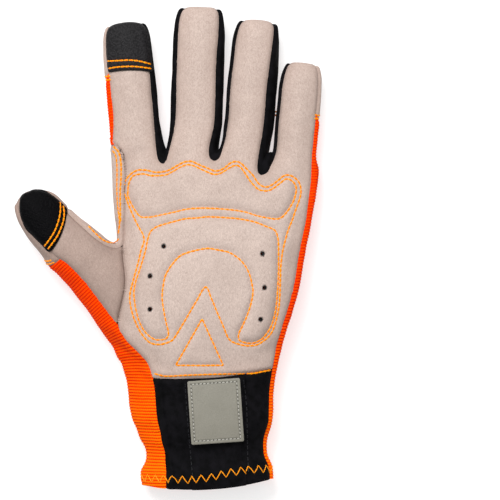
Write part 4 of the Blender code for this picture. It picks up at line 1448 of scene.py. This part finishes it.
def quilted(points):
    heights = np.zeros(len(points))
    away = {name: distance_to_line(points, line) for name, line in QUILTING.items()}
    for name, depth in STITCHED_DEPTHS.items():
        heights -= depth * MILLIMETRE * bell(away[name], STITCHED_WIDTH)
    within = {name: inside(points, QUILTING[name]) for name in ("outer_line", *PAD_HEIGHTS)}
    for name, height in PAD_HEIGHTS.items():
        heights += np.where(within[name], height * MILLIMETRE * rise(away[name], 0.0, PAD_SLOPE), 0.0)
    hollow = within["outer_line"] & ~within["arch_pad"] & ~within["knuckle_pad"]
    nearest = np.minimum(away["arch_pad"], away["outer_line"])
    return heights + np.where(hollow, HOLLOW_HEIGHT * rise(nearest, 0.0, HOLLOW_SLOPE), 0.0)


def faces_near(builder, centre, reach):
    return [face for face in builder.faces if (face.calc_center_median().xy - centre).length < reach]


def punch_vents(piece):
    """Opens the vent holes: points near one move onto its circle, and the faces inside it go."""
    with opened(piece.data) as builder:
        # The holes' rims are marked for the suede's painted shade inside them.
        rim = builder.verts.layers.float.new("vent")
        for pixel in VENT_PIXELS:
            centre = from_photo(*pixel)
            edges = {edge for face in faces_near(builder, centre, VENT_FINE) for edge in face.edges}
            bmesh.ops.subdivide_edges(builder, edges=list(edges), cuts=1, use_grid_fill=True)
            for point in builder.verts:
                away = point.co.xy - centre
                if away.length < VENT_NEAR[1]:
                    if away.length > VENT_NEAR[0]:
                        point.co.xy = centre + away.normalized() * VENT_RADIUS
                        point[rim] = 1.0
                    point.co.z -= VENT_DIP
            bmesh.ops.delete(builder, geom=faces_near(builder, centre, VENT_GONE), context="FACES")


palm = sew_panel("palm_panel", suede, quilted, punch_vents)
print("palm:", len(palm.data.polygons), "faces")

# %% [markdown]
# ## The ribbed back
# The knit's rows are real relief, so its outline is finely notched as in the photograph. A row is 1.6 mm
# wide, which needs a point every half millimetre or less along the hand but few across it. So only the
# edges that run along the hand are cut again, and the skin is then lifted into rows.

# %% Knit the back
ALONG_SHARE = 0.62  # an edge that climbs this share of its length runs along the hand
LONGEST_EDGE = 0.00050


def edges_along(mesh):
    """Which of the outer face's edges run along the hand and not across it, and every edge's length."""
    ends = np.empty(len(mesh.edges) * 2, dtype=int)
    mesh.edges.foreach_get("vertices", ends)
    ends = ends.reshape(-1, 2)
    along, marks, points = stored(mesh, "along"), stored(mesh, "outside"), points_of(mesh)
    length = np.linalg.norm(points[ends[:, 0]] - points[ends[:, 1]], axis=1)
    climbed = np.abs(along[ends[:, 0]] - along[ends[:, 1]])
    return (climbed > ALONG_SHARE * length) & (marks[ends] > 0.99).all(axis=1), length


def cut_edges(piece, chosen, cuts):
    select_only(piece)
    bpy.ops.object.mode_set(mode="EDIT")
    bpy.ops.mesh.select_mode(type="EDGE")
    bpy.ops.mesh.select_all(action="DESELECT")
    bpy.ops.object.mode_set(mode="OBJECT")
    piece.data.edges.foreach_set("select", chosen)
    bpy.ops.object.mode_set(mode="EDIT")
    bpy.ops.mesh.subdivide(number_cuts=cuts)
    bpy.ops.object.mode_set(mode="OBJECT")


def knitted_back():
    piece = panels["back_panel"]
    push(piece.data, seam_roll(points_of(piece.data)) * 0.8)
    outside = len(piece.data.vertices)
    add_wall(piece, WALLS["back_panel"])
    store(piece.data, "outside", (np.arange(len(piece.data.vertices)) < outside).astype(float))
    chosen, _ = edges_along(piece.data)
    cut_edges(piece, chosen, 2)
    chosen, length = edges_along(piece.data)
    cut_edges(piece, chosen & (length > LONGEST_EDGE), 1)
    return piece


back = knitted_back()
print("back:", len(back.data.polygons), "faces")

# %% [markdown]
# A row of the rib knit is a soft swell. The shader draws the sharp valley between two rows at the same
# place, because both read `along`.

# %% Lift the rows
def lift_rows(piece):
    mesh = piece.data
    row = 0.5 - 0.5 * np.cos(2 * math.pi * stored(mesh, "along") / RIB)
    away = distance_to_seams(points_of(mesh))
    push(mesh, RIB_HEIGHT * (row - 0.4) * stored(mesh, "outside") * rise(away, 0.0, 0.0015))


lift_rows(back)
dress(back, knit)
print("back:", len(back.data.polygons), "faces with its rows")

# %% [markdown]
# ## The wrist
# The black wrist panel is plain stretch cloth with the wrist strip laid down its middle. The strip follows
# the panel under it at its own thickness, and its edge is rounded down where the stitches hold it.

# %% Wrist panel and wrist strip
sew_panel("cuff_panel", stretch)


def border_points(mesh):
    """A search tree of the points on the open edge."""
    builder = bmesh.new()
    builder.from_mesh(mesh)
    found = [point.co.copy() for point in builder.verts if point.is_boundary]
    builder.free()
    return search_tree(found)


def cover_strip():
    """The strip is thin at its edge, and dips under its own stitching."""
    piece = patches["wrist_strip"]
    edge = border_points(piece.data)
    refine(piece)
    points = points_of(piece.data)
    inward = np.array([edge.find(point)[2] for point in points])
    heights = seam_roll(points) * 0.6
    heights += SEAM_GAP + STRIP_WALL * (0.35 + 0.65 * rise(inward, 0.0, 0.0013))
    heights -= 0.00030 * bell(inward - 0.0012, 0.0006)
    return finish_cloth("wrist_strip", piece, heights, STRIP_WALL, stretch)


strip = cover_strip()
print("wrist strip:", len(strip.data.polygons), "faces")

# %% [markdown]
# Everything sewn on from here finds the cloth under it by casting a ray: down onto the palm, up onto the
# back, or outward from a finger's own axis. The outer faces of all panels and patches make one surface.

# %% The sewn surface
def whole_surface():
    points, faces = [], []
    for own_points, own_faces in outer_faces.values():
        start = len(points)
        points += own_points
        faces += [tuple(start + corner for corner in face) for face in own_faces]
    return BVHTree.FromPolygons(points, faces)


remember_outside("back_panel", panels["back_panel"].data)
surface = whole_surface()


def onto(start, direction):
    """Where a ray meets the cloth, and which way the cloth faces there."""
    place, normal, _, _ = surface.ray_cast(Vector(start), Vector(direction))
    if place is None:
        return None
    if normal.dot(Vector(direction)) > 0:
        normal = -normal
    return place, normal


def beneath(x, y, side=1):
    """The cloth met from far above the palm (side 1), or from below the back (side -1)."""
    return onto((x, y, 0.1 * side), (0.0, 0.0, -side))


def lay_down(line, side=1):
    """A flat line of (x, y), laid on the palm or the back."""
    return [spot for spot in (beneath(x, y, side) for x, y in line) if spot]


print("surface ready, palm height at its middle:", round(beneath(0, 0)[0].z * 1000, 1), "mm")

# %% [markdown]
# ## The tip patches
# The grip patches on the index finger and the thumb have outlines of their own, read off the photograph.
# Each is built as rings round its middle, laid on the fingertip. Where the outline runs past the finger's
# edge, it is drawn in until it meets cloth. The edge is skived thin, and the leather dips under its
# stitches.

# %% Tip patches
INDEX_PATCH = (
    (109.3, 72.7), (108.3, 66.7), (107.2, 56), (106.5, 46), (106.5, 38), (107.9, 31.5), (111, 27.2),
    (116, 24.6), (125, 23.2), (137, 23.6), (144, 26.2), (147.9, 31), (149.7, 39), (150.8, 50), (151.7, 61),
    (152.4, 71.8), (142, 71.3), (130, 71), (118, 71.6),
)
THUMB_PATCH = (
    (51, 252), (43, 244.6), (34.2, 236), (26.5, 227.7), (23.4, 219.5), (21.4, 209), (21.9, 199), (24.6, 192),
    (29, 189.2), (34.8, 188.3), (43, 190), (51.7, 194.6), (60.5, 201.6), (67.2, 208.6), (67.5, 215),
    (65, 228), (59.4, 241.6),
)
INDEX_PATCH_LINES = (((107.6, 61.5), (118, 61.3), (130, 60.8), (141, 62), (151.2, 64.6)),
                     ((108.8, 68.9), (118, 67.6), (130, 67.0), (141, 67.6), (151.6, 69.0)))
THUMB_PATCH_LINES = (((61.2, 202.4), (61.6, 211), (59.8, 221), (56, 231.4), (51, 239.4), (45.6, 246.4)),
                     ((64.3, 206), (65.4, 213.8), (64, 223.3), (59.6, 234.3), (54.4, 242.4), (49.2, 249.2)))
PATCH_RINGS = 26
STEEPEST = 0.42  # upward part of the cloth's normal where a patch has to end


def reach_to_cloth(middle, end, lowest):
    """The furthest place from the middle towards the end that still lies on the finger's palm side."""
    for share in np.arange(1.0, 0.6, -0.0025):
        hit = beneath(*(middle + (end - middle) * share))
        if hit and hit[0].z > lowest and hit[1].z > STEEPEST:
            return middle + (end - middle) * share
    return middle + (end - middle) * 0.6


def tip_patch(name, outline, lines, finish, lowest):
    """outline runs clockwise on the photograph, so its faces come out facing up when it is reversed."""
    rim = rounded(on_table(outline), True, 0.0007)[-1:0:-1]
    middle = rim.mean(axis=0)
    rim = np.array([reach_to_cloth(middle, end, lowest) for end in rim])
    for _ in range(4):
        rim = 0.5 * rim + 0.25 * (np.roll(rim, 1, axis=0) + np.roll(rim, -1, axis=0))
    flat = [middle] + [middle + (end - middle) * (ring / PATCH_RINGS)
                       for ring in range(1, PATCH_RINGS + 1) for end in rim]
    flat = np.array(flat)
    points = np.array([beneath(x, y)[0] for x, y in flat])
    count = len(rim)
    faces = [(0, 1 + number, 1 + (number + 1) % count) for number in range(count)]
    for ring in range(PATCH_RINGS - 1):
        low, high = 1 + ring * count, 1 + (ring + 1) * count
        faces += [(low + number, high + number, high + (number + 1) % count, low + (number + 1) % count)
                  for number in range(count)]
    piece = new_piece(name, [tuple(point) for point in points], faces)
    mesh = piece.data
    normals = normals_of(mesh)
    normals *= np.sign(normals[:, 2:3])
    inward = distance_to_line(flat, rim)
    height = SEAM_GAP + PATCH_WALL * (0.30 + 0.70 * rise(inward, 0.0, 0.0014))
    for line in lines:
        height -= 0.00035 * bell(distance_to_line(flat, rounded(on_table(line))), 0.0007)
    move_points(mesh, points + normals * height[:, None])
    remember_outside(name, mesh)
    add_wall(piece, PATCH_WALL)
    print(name, len(mesh.polygons), "faces")
    return dress(piece, finish)


patches["index_tip_patch"] = tip_patch("index_grip_patch", INDEX_PATCH, INDEX_PATCH_LINES, index_grip,
                                       lowest=0.009)
patches["thumb_tip_patch"] = tip_patch("thumb_grip_patch", THUMB_PATCH, THUMB_PATCH_LINES, thumb_grip,
                                       lowest=0.0226)
surface = whole_surface()

# %% [markdown]
# ## The tab
# The rubber tab is a plate with rounded corners and edges, sewn on the wrist strip a little askew. It is
# left bare. A grid is projected on the strip, so it follows the wrist's curve.

# %% Rubber tab
LABEL_CENTRE = (215.9, 410.4)
LABEL_CORNER = 0.0010
LABEL_STITCHES = 0.0018  # in from the edge
LABEL_GRID = (110, 134)


def corner_rounding(u, v):
    """Moves a point of the rectangle in, so that its corners are rounded."""
    half = Vector((LABEL_WIDTH / 2 - LABEL_CORNER, LABEL_HEIGHT / 2 - LABEL_CORNER))
    beyond = Vector((max(0.0, abs(u) - half.x), max(0.0, abs(v) - half.y)))
    if beyond.x <= 0.0 or beyond.y <= 0.0:
        return u, v
    square = max(beyond.x, beyond.y)
    shrink = square / beyond.length
    return (math.copysign(half.x + beyond.x * shrink, u), math.copysign(half.y + beyond.y * shrink, v))


def tab_place(u, v):
    """Where a point of the tab lies on the table: u across it and v up it, from its middle."""
    centre = from_photo(*LABEL_CENTRE)
    return (centre.x + math.cos(LABEL_LEAN) * u - math.sin(LABEL_LEAN) * v,
            centre.y + math.sin(LABEL_LEAN) * u + math.cos(LABEL_LEAN) * v)


def rubber_tab():
    bpy.ops.object.select_all(action="DESELECT")
    bpy.ops.mesh.primitive_grid_add(x_subdivisions=LABEL_GRID[0], y_subdivisions=LABEL_GRID[1], size=1.0)
    tab = bpy.context.object
    tab.name = tab.data.name = "rubber_tab"
    flat = np.array([corner_rounding(point.co.x * LABEL_WIDTH, point.co.y * LABEL_HEIGHT)
                     for point in tab.data.vertices])
    places = [tab_place(u, v) for u, v in flat]
    bend = even_bend(flat, np.array([beneath(x, y)[0].z for x, y in places]))
    away = np.minimum(LABEL_WIDTH / 2 - np.abs(flat[:, 0]), LABEL_HEIGHT / 2 - np.abs(flat[:, 1]))
    groove = bell(away - LABEL_STITCHES, 0.00038)
    rim = (1.0 - np.minimum(1.0, away / 0.0004)) ** 2
    height = bend + LABEL_WALL + 0.0002 - 0.00028 * groove - 0.00030 * rim
    move_points(tab.data, np.column_stack([places, height]))
    # Where the rubber is painted darker, as shade in the groove along its stitches.
    store(tab.data, "groove", groove)
    return tab


def even_bend(flat, cloth):
    """Rubber is stiffer than cloth: the plate bends evenly and bridges the cloth's small dips."""
    u, v = flat[:, 0] / LABEL_WIDTH, flat[:, 1] / LABEL_HEIGHT
    terms = np.column_stack([np.ones(len(u)), u, v, u * u, v * v, u * v])
    bend = terms @ np.linalg.lstsq(terms, cloth, rcond=None)[0]
    return bend + 0.6 * max(0.0, float((cloth - bend).max()))


tab = rubber_tab()
add_wall(tab, LABEL_WALL)
dress(tab, rubber)
remember_outside("label", tab.data)
surface = whole_surface()
print("tab:", len(tab.data.polygons), "faces")

# %% [markdown]
# ## Stitching
# One stitch is a short loop of thread: it comes up out of the cloth, lies on it and goes down again. It is
# modelled once as a curved, six-sided capsule and every stitch is a copy of it, bent along its own piece of
# the line.

# %% One stitch
StitchSize = namedtuple("StitchSize", "length gap thickness lift")
SIDES, STEPS = 6, 7


class Seamstress:
    """Collects the stitches of one thread and makes one piece of them."""

    def __init__(self, name, finish, size):
        self.name, self.finish, self.size = name, finish, size
        self.points, self.faces, self.twists = [], [], []

    def stitch(self, places, normals):
        """One stitch along these places, which must be at least two."""
        start = len(self.points)
        places = np.array(places)
        places = evenly(places, np.linalg.norm(places[-1] - places[0]) / 64)
        stops = np.linspace(0, len(places) - 1, STEPS).round().astype(int)
        length = np.linalg.norm(np.diff(places, axis=0), axis=1).sum()
        normal = np.mean(np.array(normals), axis=0)
        normal /= np.linalg.norm(normal)
        for step, stop in enumerate(stops):
            here = places[stop]
            ahead = places[min(len(places) - 1, stop + 4)] - places[max(0, stop - 4)]
            ahead /= np.linalg.norm(ahead)
            sideways = np.cross(ahead, normal)
            sideways /= np.linalg.norm(sideways)
            share = step / (STEPS - 1)
            swell = math.sin(math.pi * (0.08 + 0.84 * share)) ** 0.28
            radius = self.size.thickness / 2 * swell
            arch = self.size.lift * (math.sin(math.pi * share) ** 0.6) - radius * 0.35
            for side in range(SIDES):
                angle = 2 * math.pi * side / SIDES
                spot = (here + sideways * math.cos(angle) * radius
                        + normal * (arch + math.sin(angle) * radius * 0.8))
                self.points.append(spot)
                self.twists.append(side / SIDES + share * length / (self.size.thickness * 2.2))
        for step in range(STEPS - 1):
            low, high = start + step * SIDES, start + (step + 1) * SIDES
            for side in range(SIDES):
                following = (side + 1) % SIDES
                self.faces.append((low + side, high + side, high + following, low + following))
        self.faces.append(tuple(start + side for side in range(SIDES)))
        last = start + (STEPS - 1) * SIDES
        self.faces.append(tuple(last + side for side in reversed(range(SIDES))))

    def sew(self, laid):
        """Stitches along a laid line, with a gap between each and the next."""
        places = np.array([spot for spot, _ in laid])
        normals = np.array([normal for _, normal in laid])
        reached = lengths_up_to(places)
        count = max(1, int(round(reached[-1] / (self.size.length + self.size.gap))))
        pitch = reached[-1] / count
        for number in range(count):
            begin = number * pitch + self.size.gap / 2
            stops = np.linspace(begin, begin + pitch - self.size.gap, 9)
            middle = int(np.searchsorted(reached, stops[4]))
            self.stitch(places_at(stops, reached, places), normals[max(0, middle - 2): middle + 3])

    def sew_lines(self, lines, side=1):
        """Stitches along lines read off the photograph."""
        for line in lines:
            self.sew(lay_down(rounded(on_table(line)), side))

    def finish_piece(self):
        piece = new_piece(self.name, [(x, y, max(z, 0.0)) for x, y, z in self.points], self.faces)
        store(piece.data, "twist", self.twists)
        piece.data.materials.append(self.finish)
        piece.data.shade_smooth()
        return piece


# %% [markdown]
# The palm's quilting is sewn with thick orange thread, in stitches 2.4 mm long. The same thread holds the
# tip patches, the crotch patch and the caps.

# %% Orange stitching on the palm
orange = Seamstress("orange_stitching", orange_thread, StitchSize(0.0024, 0.00016, 0.00112, 0.00016))
for name, line in QUILTING.items():
    orange.sew(lay_down(line))

CROTCH_LINES = (
    ((112.6, 150.7), (116, 156), (117.2, 166.7), (117.2, 189.7), (118, 206.5), (119.9, 221.8), (118.4, 234)),
    ((113.4, 146.4), (118.7, 152.2), (121, 160.6), (121.4, 175.9), (120.6, 191), (120.6, 210), (121, 221.8)),
    ((89, 226), (95.7, 232.8), (103, 239.4), (109.6, 242.4), (114.8, 242.7), (119.2, 238.7)),
)
orange.sew_lines(INDEX_PATCH_LINES + THUMB_PATCH_LINES + CROTCH_LINES)
print("orange stitching so far:", len(orange.faces), "faces")

# %% [markdown]
# Behind the fingertips two rows of the same stitching hold each cap's lower edge. They run round the
# finger from seam to seam, so their line is cast outward from the finger's axis.

# %% Stitching round the caps
def round_finger(axis, distances, angles, height=0.010):
    """A line round a finger through these distances along it at these angles, in degrees. 0 points at the
    little finger's side, 90 out of the palm and 270 out of the back. It is cast inward on the cloth."""
    base, direction, _ = axis
    right = Vector((direction[1], -direction[0], 0.0))
    laid = []
    for angle in np.arange(angles[0], angles[-1] + 0.1, 3.0):
        distance = float(np.interp(angle, angles, distances))
        centre = Vector((*(base + direction * distance), height))
        turn = math.radians(angle)
        way = right * math.cos(turn) + Vector((0, 0, math.sin(turn)))
        laid.append(onto(centre + way * 0.017, -way))
    return [spot for spot in laid if spot]


CAP_STITCHES = {
    # the angles between which each finger's cap reaches round its back
    "index": (150, 345), "middle": (195, 345), "ring": (195, 345), "little": (195, 390),
}
for name, axis in zip(FINGERS, FINGER_AXES):
    shaft = FINGER_SHAPES[name].reach - CAP_LENGTH - CAP_LAG
    low, high = CAP_STITCHES[name]
    for above in (0.0018, 0.0036):
        orange.sew(round_finger(axis, (shaft + above, shaft + above), (low, high)))
THUMB_CAP_EDGE = (0.0212, 0.0236, 0.0258, 0.0283)
for above in (0.0014, 0.0032):
    edge = [distance + above for distance in THUMB_CAP_EDGE]
    orange.sew(round_finger(THUMB_AXIS, edge, (150, 180, 270, 352), THUMB_HEIGHT + THUMB_LIFT * 0.5))
print("orange stitching:", len(orange.faces), "faces")

# %% [markdown]
# The wrist strip's edges carry black dashes, the tab a row of thin grey ones inside its edge, and two rows
# in the knit's own orange curve across the back of the hand.

# %% Stitching on the wrist and back
black = Seamstress("black_stitching", black_thread, StitchSize(0.0020, 0.0010, 0.00070, 0.00012))
STRIP_LEFT = ((185.6, 382), (186.9, 406), (189.6, 438), (191.6, 462), (193, 476))
STRIP_RIGHT = ((243.4, 378.5), (246.6, 406), (247.6, 449), (248.6, 472))
black.sew_lines((STRIP_LEFT, STRIP_RIGHT))

grey = Seamstress("grey_stitching", grey_thread, StitchSize(0.0012, 0.0008, 0.00062, 0.00024))


half_width, half_height = LABEL_WIDTH / 2 - LABEL_STITCHES, LABEL_HEIGHT / 2 - LABEL_STITCHES
tab_line = polygon(np.array([tab_place(u * half_width, v * half_height)
                             for u, v in ((-1, -1), (1, -1), (1, 1), (-1, 1))]))
grey.sew(lay_down(tab_line))

red = Seamstress("back_stitching", red_thread, StitchSize(0.0030, 0.0012, 0.00070, 0.00030))
BACK_LINES = (((118, 176), (150, 182), (200, 190), (250, 204), (290, 214)),
              ((120, 226), (160, 234), (210, 248), (250, 256), (280, 258)))
red.sew_lines(BACK_LINES, side=-1)
print("black, grey and back stitching:", len(black.faces), len(grey.faces), len(red.faces), "faces")

# %% [markdown]
# A zigzag of pale orange thread runs all the way round the hem. Its points are cast inward on the cuff,
# from every direction round its own middle.

# %% Zigzag hem
ZIGZAG_PITCH, ZIGZAG_HEIGHT = 0.0054, 0.0040
CUFF_MIDDLE = Vector((0.0065, 0.0, 0.0115))
CUFF_DIRECTIONS = 240
HEM_LINE = ((-0.0285, -0.1065), (-0.0150, -0.1070), (0.0, -0.1062), (0.0130, -0.1055), (0.0380, -0.1015))


def hem_height(x):
    return float(np.interp(x, *zip(*HEM_LINE)))


def round_cuff():
    """Points round the cuff near the hem."""
    spots = []
    for turn in np.arange(CUFF_DIRECTIONS + 1) * (2 * math.pi / CUFF_DIRECTIONS):
        way = Vector((math.cos(turn), 0.0, math.sin(turn)))
        far = CUFF_MIDDLE + way * 0.08
        far.y = hem_height(CUFF_MIDDLE.x + way.x * 0.034)
        hit = onto(far, -way)
        if hit:
            spots.append(hit[0])
    return np.array(spots)


def zigzag():
    places = round_cuff()
    reached = lengths_up_to(places)
    count = 2 * int(round(reached[-1] / ZIGZAG_PITCH))
    corners = places_at(np.arange(count + 1) * (reached[-1] / count), reached, places)
    corners[0::2, 1] -= ZIGZAG_HEIGHT / 2
    corners[1::2, 1] += ZIGZAG_HEIGHT / 2
    for first, last in zip(corners, corners[1:]):
        laid = []
        for share in np.linspace(0.0, 1.0, 7):
            place = first + (last - first) * share
            way = np.array((place[0] - CUFF_MIDDLE.x, 0.0, place[2] - CUFF_MIDDLE.z))
            way /= np.linalg.norm(way)
            hit = onto(Vector(place + way * 0.02), Vector(-way))
            if hit:
                laid.append(hit)
        if len(laid) > 3:
            yellow.stitch([spot for spot, _ in laid], [normal for _, normal in laid])


yellow = Seamstress("hem_zigzag", yellow_thread, StitchSize(0.0045, 0.0, 0.00058, 0.00016))
zigzag()
print("zigzag:", len(yellow.faces), "faces")

# %% [markdown]
# ## Put the pieces in the frame
# Each finished piece takes its node's place, and the threads ride along with them. Nothing on a glove
# turns on a pin, so everything rides on the one body.

# %% Name and place
threads = [seam.finish_piece() for seam in (orange, black, grey, red, yellow)]
for name, piece in panels.items():
    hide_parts(name)
for name, wanted in (("index_tip_patch", "grip_patch"), ("thumb_tip_patch", "grip_patch"),
                     ("wrist_strip", "strip_stretch")):
    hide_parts(name)
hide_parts("label")
for piece in (*panels.values(), *patches.values(), tab, *threads):
    for name in ("skin_normal", "outside"):
        if name in piece.data.attributes:
            piece.data.attributes.remove(piece.data.attributes[name])
    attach(piece, "root")

# %% [markdown]
# The glove lies on a plain pale table that fades into the background. The table glows a little, as a
# light table does, so the shadows between the fingers stay pale.

# %% Floor
TABLE_GLOW = 0.60


def pale_floor():
    bpy.ops.mesh.primitive_plane_add(size=6.0, location=(0.0, 0.0, -0.0002))
    floor = bpy.context.object
    floor.name = "pale_floor"
    finish = Finish("pale_floor", roughness=0.9, specular=0.0)
    finish.paint((0.48, 0.48, 0.48, 1.0))
    finish.shader.inputs["Emission Color"].default_value = WHITE
    finish.shader.inputs["Emission Strength"].default_value = TABLE_GLOW
    floor.data.materials.append(finish.material)


pale_floor()
